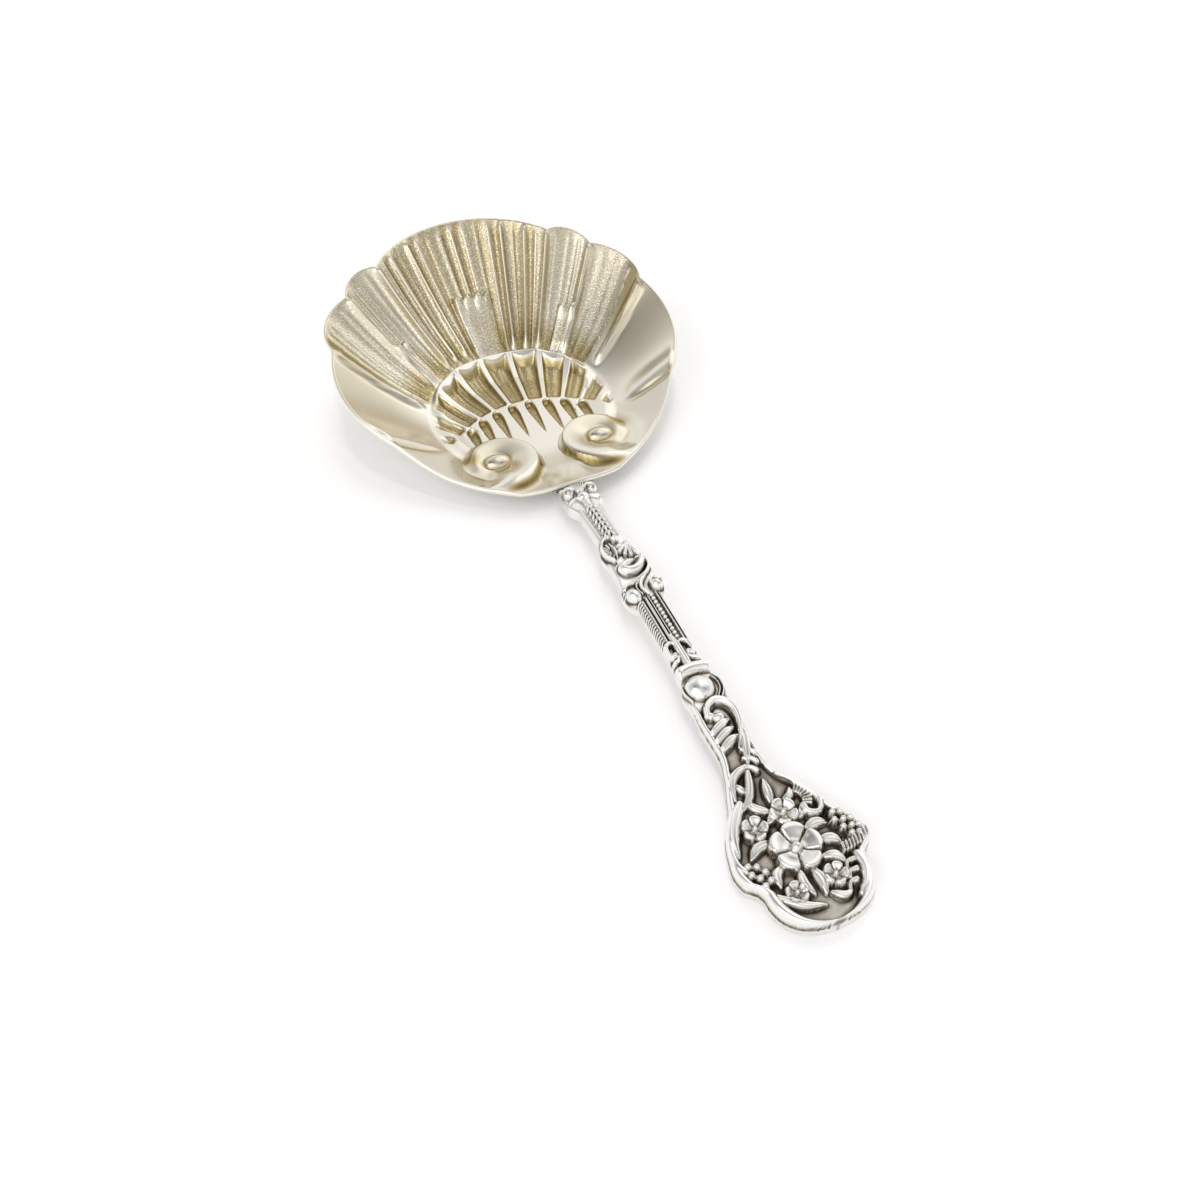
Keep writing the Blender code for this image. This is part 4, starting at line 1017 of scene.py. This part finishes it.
def cartouche_flowers(relief):
    """A large wild rose with smaller ones about it, broad leaves between them, and berries at either side."""
    for half_width, *points in (
        (0.85, (0.4, 59.6), (0.7, 58.2), (0.9, 56.6)),
        (0.8, (-0.5, 60.6), (-1.7, 59.8), (-2.2, 58.6)),
        (0.7, (2.0, 59.9), (2.9, 59.6), (3.3, 58.7)),
        (0.95, (2.6, 64.2), (4.0, 63.9), (5.1, 64.4)),
        (0.95, (3.2, 66.2), (4.6, 66.4), (5.4, 67.4)),
        (0.9, (2.6, 68.2), (3.9, 68.6), (4.6, 69.8)),
        (0.95, (-2.4, 64.2), (-3.9, 64.4), (-5.2, 65.4)),
        (0.9, (-2.6, 67.6), (-3.6, 68.4), (-3.8, 69.8)),
        (0.95, (0.6, 69.2), (0.9, 70.8), (0.5, 72.4)),
        (0.85, (-0.9, 69.0), (-1.2, 70.4), (-0.7, 72.0)),
        (0.7, (2.4, 62.6), (3.0, 62.2), (3.3, 61.4)),
        (0.7, (-1.2, 62.0), (-0.6, 61.6), (-0.2, 60.8)),
    ):
        relief.leaf(points, half_width, 1.05)
    relief.leaf(((1.2, 72.6), (2.2, 73.4), (3.4, 73.2)), 0.75, 1.0)
    for rose in ((0.2, 66.1, 3.4, 1.3, 20), (1.1, 61.4, 1.9, 1.1, 50), (-3.1, 62.2, 1.75, 1.15, 10),
                 (-2.6, 71.2, 1.5, 1.15, 30), (2.6, 70.8, 1.6, 1.1, 0)):
        relief.rose(*rose)
    relief.berries(((6.2, 63.8), (7.1, 64.1), (5.9, 64.8), (6.9, 65.1), (7.8, 65.2), (6.4, 66.0), (7.4, 66.2),
                    (8.2, 66.4), (6.9, 67.1), (7.7, 67.3)), 0.6, 1.6)
    relief.berries(((-6.2, 66.3), (-5.3, 66.7), (-6.3, 67.4), (-4.7, 67.6), (-5.6, 68.1), (-4.6, 68.8),
                    (-5.5, 69.2)), 0.62, 1.45)


def handle_relief():
    """All of the handle's ornament."""
    relief = Relief()
    for ornament in (rolled_border, shaft_rails, capital, husk_chain, knot, reeded_shaft, acanthus_husk,
                     collar_and_boss, neck_leaves, cartouche_scrolls, cartouche_flowers):
        ornament(relief)
    return relief


def shaft_stations():
    """Places of the handle's sections, close together where the ornament is fine and at the round end."""
    runs = [np.linspace(a, b, n, endpoint=False) for a, b, n in SECTIONS]
    turns = np.radians(np.linspace(0, END_TURN, END_SECTIONS))
    return np.concatenate((*runs, NOTCH_AT + (HANDLE_LENGTH - NOTCH_AT) * np.sin(turns)))


def closed_sections(left, right, top_x, top_z, along, back):
    """Sections as rings: the top from left to right, down the right wall, across the back and up again."""
    left, right, back = left[:, None], right[:, None], back[:, None]
    bevel = np.minimum(BACK_BEVEL, 0.4 * np.minimum(left, right))
    turn = np.radians(np.linspace(0, 90, 4))
    drop = np.array((0.4, 0.75))
    right_wall = top_z[:, -1:] + (back + bevel - top_z[:, -1:]) * drop
    left_wall = top_z[:, :1] + (back + bevel - top_z[:, :1]) * drop[::-1]
    corner_x, corner_z = bevel * (1 - np.cos(turn)), bevel * (1 - np.sin(turn))
    across = np.linspace(0, 1, 9)[1:-1]
    back_x = (right - bevel) * (1 - across) + (bevel - left) * across
    x = np.concatenate((top_x, np.repeat(right, 2, 1), right - corner_x, back_x, corner_x[:, ::-1] - left,
                        np.repeat(-left, 2, 1)), 1)
    z = np.concatenate((top_z, right_wall, back + corner_z, back + 0 * back_x, back + corner_z[:, ::-1],
                        left_wall), 1)
    return np.stack((x, np.repeat(-along[:, None], x.shape[1], 1), z), -1)


def handle_grid(relief, sunk):
    """The handle as rings of points from the tongue's tip to its end, with how deep each lies sunk."""
    spread = np.linspace(-1, 1, TOP_POINTS)
    spread = 0.7 * spread + 0.3 * np.sin(np.pi / 2 * spread)
    turns = np.radians(np.linspace(3, 90, TONGUE_SECTIONS))
    tongue = np.concatenate((-TONGUE_REACH * np.cos(turns), (HEEL_GAP,)))
    half = TONGUE_HALF_WIDTH * np.sqrt(np.maximum(1 - (np.minimum(tongue, 0.0) / TONGUE_REACH) ** 2, 0.0))
    tongue_x = half[:, None] * spread
    tongue_z = np.array([tongue_top(x, along) for x, along in zip(tongue_x, tongue)])
    share = np.clip(-tongue / TONGUE_REACH, 0.0, 1.0)
    tongue_back = tongue_z.min(1) - TONGUE_ROOT - (TONGUE_TIP - TONGUE_ROOT) * share
    first = closed_sections(half, half, tongue_x, tongue_z, tongue, tongue_back)
    along = shaft_stations()
    left, right = half_widths(along)
    x = (right - left)[:, None] / 2 + (right + left)[:, None] / 2 * spread
    edge = np.minimum(x + left[:, None], right[:, None] - x)
    rounding = EDGE_ROUND * (1 - np.sqrt(1 - np.clip(1 - edge / EDGE_ROUND, 0.0, 1.0) ** 2))
    places = np.repeat(along[:, None], len(spread), 1)
    z = ground_height(along)[:, None] + relief.sample(relief.height, x, places) - rounding
    second = closed_sections(left, right, x, z, along, back_height(along))
    dark = np.zeros(second.shape[:2])
    dark[:, :len(spread)] = relief.sample(sunk, x, places)
    return np.concatenate((first, second)), np.concatenate((np.zeros(first.shape[:2]), dark))


def make_grid(name, rings, poles, y, materials, slots, **attributes):
    """A closed mesh through rings of points with a pole at either end, its rings in the material slots
    given and its points holding the named attributes."""
    count, around = rings.shape[:2]
    points = np.concatenate((rings.reshape(-1, 3), np.array(poles, float))) * MM
    points[:, 1] += y * MM
    points = np.clip(points, CAD_BOX[0], CAD_BOX[1])
    index = np.arange(count * around).reshape(count, around)
    following = np.roll(index, -1, 1)
    quads = np.stack((index[:-1], following[:-1], following[1:], index[1:]), -1).reshape(-1, 4)
    first, last = count * around, count * around + 1
    start = np.stack((following[0], index[0], np.full(around, first)), -1)
    end = np.stack((index[-1], following[-1], np.full(around, last)), -1)
    mesh = bpy.data.meshes.new(name)
    mesh.from_pydata(points.tolist(), [], quads.tolist() + start.tolist() + end.tolist())
    quad_slots = np.repeat(np.asarray(slots)[:-1], around)
    all_slots = np.concatenate((quad_slots, np.full(around, slots[0]), np.full(around, slots[-1])))
    mesh.polygons.foreach_set("material_index", all_slots.astype(np.int32))
    for label, values in attributes.items():
        ends = (values[0].mean(), values[-1].mean())
        stored = np.concatenate((values.ravel(), ends)).astype(np.float32)
        mesh.attributes.new(label, "FLOAT", "POINT").data.foreach_set("value", stored)
    for material in materials:
        mesh.materials.append(material)
    mesh.shade_smooth()
    piece = bpy.data.objects.new(name, mesh)
    bpy.context.scene.collection.objects.link(piece)
    return piece


def linear(colour):
    """An sRGB hex colour as linear red, green, blue and 1."""
    channels = np.array([int(colour[i:i + 2], 16) for i in (0, 2, 4)]) / 255
    low = channels / 12.92
    high = ((channels + 0.055) / 1.055) ** 2.4
    return (*np.where(channels <= 0.04045, low, high), 1.0)


def add_node(tree, kind, links=(), values=(), out=0, stops=(), **settings):
    """Adds a node with its settings, its socket values, its colours at shares of a ramp and the outputs that
    are linked to its sockets, and gives one of its own outputs."""
    made = tree.nodes.new(kind)
    for name, value in settings.items():
        setattr(made, name, value)
    for socket, value in dict(values).items():
        made.inputs[socket].default_value = value
    for socket, output in dict(links).items():
        tree.links.new(output, made.inputs[socket])
    for index, (share, colour) in enumerate(stops):
        ramp = made.color_ramp.elements
        stop = ramp[index] if index < len(ramp) else ramp.new(share)
        stop.position, stop.color = share, linear(colour)
    return made.outputs[out]


def new_metal(name):
    """A metal with its tree and its place on the piece."""
    material = bpy.data.materials.new(name)
    material.use_nodes = True
    tree = material.node_tree
    tree.nodes["Principled BSDF"].inputs["Metallic"].default_value = 1.0
    return material, tree, add_node(tree, "ShaderNodeTexCoord", out="Object")


def finish_metal(tree, links):
    """Links outputs to the named sockets of the metal's shader."""
    for socket, output in links.items():
        tree.links.new(output, tree.nodes["Principled BSDF"].inputs[socket])


def gilt_silver():
    """Gilt silver, stamped and then burnished: a pale champagne metal, mirror-like on the volutes and rims,
    grainy like fine sand on the flutes and in the pockets, with painted shade in brown along the edges and in
    the hollows of the relief, and painted highlights where it is paled.
    The sand, 0.24 mm across, is drawn coarser than it is so that it shows."""
    material, tree, place = new_metal("gilt_silver_stamped_and_burnished")
    # The sunk attribute carries the bowl's tone: its own gold and the heel's stain, with painted shade,
    # painted highlights and a painted dark reflection
    sunk, satin, brushed = (add_node(tree, "ShaderNodeAttribute", out="Fac", attribute_name=name)
                            for name in ("sunk", "satin", "brushed"))
    cloud = add_node(tree, "ShaderNodeTexNoise", {"Vector": place}, {"Scale": 1 / (7 * MM), "Detail": 3.0})
    grain = add_node(tree, "ShaderNodeTexNoise", {"Vector": place}, {"Scale": 1 / (0.24 * MM), "Detail": 2.0})
    worn = add_node(tree, "ShaderNodeMath", {0: cloud}, {1: 0.07}, operation="MULTIPLY")
    sand = add_node(tree, "ShaderNodeMapRange", {"Value": grain},
                    {"From Min": 0.5, "From Max": 0.72, "To Min": 0.05, "To Max": -0.42})
    speck = add_node(tree, "ShaderNodeMath", {0: sand, 1: satin}, operation="MULTIPLY")
    shade_and_wear = add_node(tree, "ShaderNodeMath", {0: sunk, 1: worn}, operation="ADD")
    stain = add_node(tree, "ShaderNodeMath", {0: shade_and_wear, 1: speck}, operation="ADD")
    # The ramp runs from the pale gold, also used for painted highlights, to a brown that is mostly painted
    # shade
    tone = add_node(tree, "ShaderNodeValToRGB", {"Fac": stain},
                    stops=((0.0, "F1EDE2"), (0.1, "E6DFCF"), (0.5, "B9A87C"), (1.0, "77663C")))
    matt = add_node(tree, "ShaderNodeMapRange", {"Value": brushed}, {"To Min": 0.21, "To Max": 0.45},
                    clamp=False)
    rough = add_node(tree, "ShaderNodeMath", {0: worn, 1: matt}, operation="ADD")
    bite = add_node(tree, "ShaderNodeMapRange", {"Value": satin}, {"To Min": 0.02, "To Max": 0.75})
    bump = add_node(tree, "ShaderNodeBump", {"Height": grain, "Strength": bite}, {"Distance": 0.12 * MM})
    finish_metal(tree, {"Base Color": tone, "Roughness": rough, "Normal": bump})
    return material


def oxidised_silver():
    """Silver, struck in a die, blackened and then polished off the high parts: bright on what stands up
    and dark brown where the polish did not reach, with faint clouds from handling."""
    material, tree, place = new_metal("silver_struck_and_oxidised")
    sunk = add_node(tree, "ShaderNodeAttribute", out="Fac", attribute_name="sunk")
    cloud = add_node(tree, "ShaderNodeTexNoise", {"Vector": place}, {"Scale": 1 / (2.2 * MM), "Detail": 4.0})
    speck = add_node(tree, "ShaderNodeTexNoise", {"Vector": place}, {"Scale": 1 / (0.3 * MM), "Detail": 2.0})
    uneven = add_node(tree, "ShaderNodeMapRange", {"Value": cloud},
                      {"From Min": 0.3, "From Max": 0.7, "To Min": 0.75, "To Max": 1.1})
    stain = add_node(tree, "ShaderNodeMath", {0: sunk, 1: uneven}, operation="MULTIPLY")
    tone = add_node(tree, "ShaderNodeValToRGB", {"Fac": stain},
                    stops=((0.0, "F0EFEC"), (0.18, "DEDBD5"), (0.5, "8D857A"), (0.85, "40382F")))
    rough = add_node(tree, "ShaderNodeMapRange", {"Value": stain}, {"To Min": 0.2, "To Max": 0.5})
    bump = add_node(tree, "ShaderNodeBump", {"Height": speck}, {"Strength": 0.12, "Distance": 0.05 * MM})
    finish_metal(tree, {"Base Color": tone, "Roughness": rough, "Normal": bump})
    return material


def worn_silver():
    """Silver, stamped and buffed by use: the bowl's bare back, softly bright with fine rubbing along it."""
    material, tree, place = new_metal("silver_stamped_and_buffed")
    cloud = add_node(tree, "ShaderNodeTexNoise", {"Vector": place}, {"Scale": 1 / (5 * MM), "Detail": 4.0})
    stretch = add_node(tree, "ShaderNodeMapping", {"Vector": place}, {"Scale": (1.0, 0.08, 1.0)})
    rub = add_node(tree, "ShaderNodeTexNoise", {"Vector": stretch}, {"Scale": 1 / (0.2 * MM)})
    faded = add_node(tree, "ShaderNodeMath", {0: cloud}, {1: 0.16}, operation="MULTIPLY")
    tone = add_node(tree, "ShaderNodeValToRGB", {"Fac": faded},
                    stops=((0.0, "F0EFEC"), (0.3, "E2DED6"), (1.0, "8C8273")))
    rough = add_node(tree, "ShaderNodeMapRange", {"Value": rub}, {"To Min": 0.18, "To Max": 0.28})
    bump = add_node(tree, "ShaderNodeBump", {"Height": rub}, {"Strength": 0.03, "Distance": 0.02 * MM})
    finish_metal(tree, {"Base Color": tone, "Roughness": rough, "Normal": bump})
    return material


def silver_solder():
    """Silver solder, flowed and left: greyer than the silver and slightly pitted."""
    material, tree, place = new_metal("silver_solder_flowed")
    pits = add_node(tree, "ShaderNodeTexNoise", {"Vector": place}, {"Scale": 1 / (0.5 * MM), "Detail": 3.0})
    tone = add_node(tree, "ShaderNodeValToRGB", {"Fac": pits}, stops=((0.3, "A9A59C"), (0.7, "CDCAC3")))
    bump = add_node(tree, "ShaderNodeBump", {"Height": pits}, {"Strength": 0.3, "Distance": 0.08 * MM})
    tree.nodes["Principled BSDF"].inputs["Roughness"].default_value = 0.42
    finish_metal(tree, {"Base Color": tone, "Normal": bump})
    return material


def make_bowl():
    """The bowl: gilt inside and round the lip, and silver on its back."""
    inside, lip, under = bowl_grid()
    rings = np.concatenate((inside, lip, under))
    slots = np.concatenate((np.zeros(len(inside) + len(lip)), np.ones(len(under))))
    plain = np.zeros((len(lip) + len(under), rings.shape[1]))
    hub = np.array((0.0, -HUB_OFFSET, inside[0][:, 2].mean()))
    foot = np.array((0.0, 0.0, under[-1][:, 2].mean()))
    spot = bowl_spot(inside[..., 0], inside[..., 1])
    # The sunk attribute holds the bowl's tone with its painted shade, painted highlights and painted dark
    # reflection
    finish = {"sunk": tone_and_painted_light_in_bowl(spot), "satin": satin_in_bowl(spot), "brushed": brushed_in_bowl(spot)}
    finish = {name: np.concatenate((values, plain)) for name, values in finish.items()}
    metals = (gilt_silver(), worn_silver())
    bowl = make_grid("bowl_shell", rings, (hub, foot), BOWL_Y, metals, slots, **finish)
    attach(bowl, "root")
    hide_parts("bowl")


def make_handle():
    """The handle with all its ornament."""
    relief = handle_relief()
    rings, dark = handle_grid(relief, relief.sunk())
    poles = (rings[0].mean(0), rings[-1].mean(0))
    handle = make_grid("handle_struck", rings[:, ::-1], poles, HEEL_Y, (oxidised_silver(),),
                       np.zeros(len(rings)), sunk=dark[:, ::-1])
    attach(handle, "root")
    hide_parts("handle")


def finish_seam():
    """The part's own solder, with a finish."""
    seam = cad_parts["solder_seam"]
    seam.data.materials.clear()
    seam.data.materials.append(silver_solder())


def make_floor():
    """A matt white table under the spoon, lifted a little for the eye and for what the metal mirrors."""
    corners = [(x * TABLE_SIZE, y * TABLE_SIZE, 0) for x, y in ((-1, -1), (1, -1), (1, 1), (-1, 1))]
    mesh = bpy.data.meshes.new("table")
    mesh.from_pydata(corners, [], [(0, 1, 2, 3)])
    material = bpy.data.materials.new("matt_white_card")
    material.use_nodes = True
    tree = material.node_tree
    shader = tree.nodes["Principled BSDF"]
    shader.inputs["Base Color"].default_value = linear("FCFBFA")
    shader.inputs["Roughness"].default_value = 0.9
    shader.inputs["Specular IOR Level"].default_value = 0.1
    rays = add_node(tree, "ShaderNodeLightPath").node.outputs
    seen = add_node(tree, "ShaderNodeMath", {0: rays["Is Camera Ray"], 1: rays["Is Glossy Ray"]},
                    operation="MAXIMUM")
    shown = add_node(tree, "ShaderNodeMath", {0: seen, 1: rays["Is Transmission Ray"]}, operation="MAXIMUM")
    glow = add_node(tree, "ShaderNodeMath", {0: shown}, {1: TABLE_GLOW}, operation="MULTIPLY")
    tree.links.new(glow, shader.inputs["Emission Strength"])
    mesh.materials.append(material)
    table = bpy.data.objects.new("table", mesh)
    bpy.context.scene.collection.objects.link(table)


def look_at(thing, place, target):
    """Puts a lamp or camera at a place, in metres, facing a target."""
    thing.location = Vector(place)
    thing.rotation_euler = (Vector(target) - Vector(place)).to_track_quat("-Z", "Y").to_euler()
    bpy.context.scene.collection.objects.link(thing)


def softbox(name, place, size, power):
    """A square lamp that faces the spoon and that metal does not mirror."""
    lamp = bpy.data.lights.new(name, "AREA")
    lamp.size = size
    lamp.energy = power
    holder = bpy.data.objects.new(name, lamp)
    holder.visible_glossy = False
    look_at(holder, place, (0, 0, 0))


def sky_patch(tree, way, towards, start, end):
    """How far a direction lies inside a round patch of the sky about another direction."""
    facing = add_node(tree, "ShaderNodeVectorMath", {0: way}, {1: Vector(towards).normalized()}, out="Value",
                      operation="DOT_PRODUCT")
    return add_node(tree, "ShaderNodeMapRange", {"Value": facing}, {"From Min": start, "From Max": end},
                    interpolation_type="SMOOTHSTEP")


def studio():
    """A pale room under a darker ceiling, with windows on the left and right, dark cloths beside them, and
    two lamps, above and behind the spoon, that cast its shadows and that the metal does not mirror."""
    world = bpy.data.worlds.new("studio")
    bpy.context.scene.world = world
    world.use_nodes = True
    tree = world.node_tree
    way = add_node(tree, "ShaderNodeTexCoord", out="Generated")
    ceiling = sky_patch(tree, way, (0.0, 0.0, 1.0), *CEILING_EDGES)
    light = add_node(tree, "ShaderNodeMapRange", {"Value": ceiling},
                     {"To Min": WALLS_LIGHT, "To Max": CEILING_LIGHT})
    for towards, start, end, change in SKY_PATCHES:
        patch = sky_patch(tree, way, towards, start, end)
        light = add_node(tree, "ShaderNodeMath", {0: patch, 2: light}, {1: change}, operation="MULTIPLY_ADD")
    back = tree.nodes["Background"]
    back.inputs["Color"].default_value = linear("FFFFFF")
    tree.links.new(light, back.inputs["Strength"])
    softbox("top_softbox", (0.0, 0.02, 1.5), 0.14, 1.9)
    softbox("back_softbox", (0.3, 0.7, 1.45), 0.3, 1.7)


def photo_camera():
    """A camera at the photograph's angle."""
    camera = bpy.data.cameras.new("camera")
    camera.sensor_width = SENSOR
    camera.lens = LENS
    eye = bpy.data.objects.new("camera", camera)
    look_at(eye, Vector(CAMERA_AT) * MM, Vector(CAMERA_AIM) * MM)
    bpy.context.scene.camera = eye


make_bowl()
make_handle()
finish_seam()
make_floor()
studio()
photo_camera()
bpy.context.scene.view_settings.view_transform = "Standard"
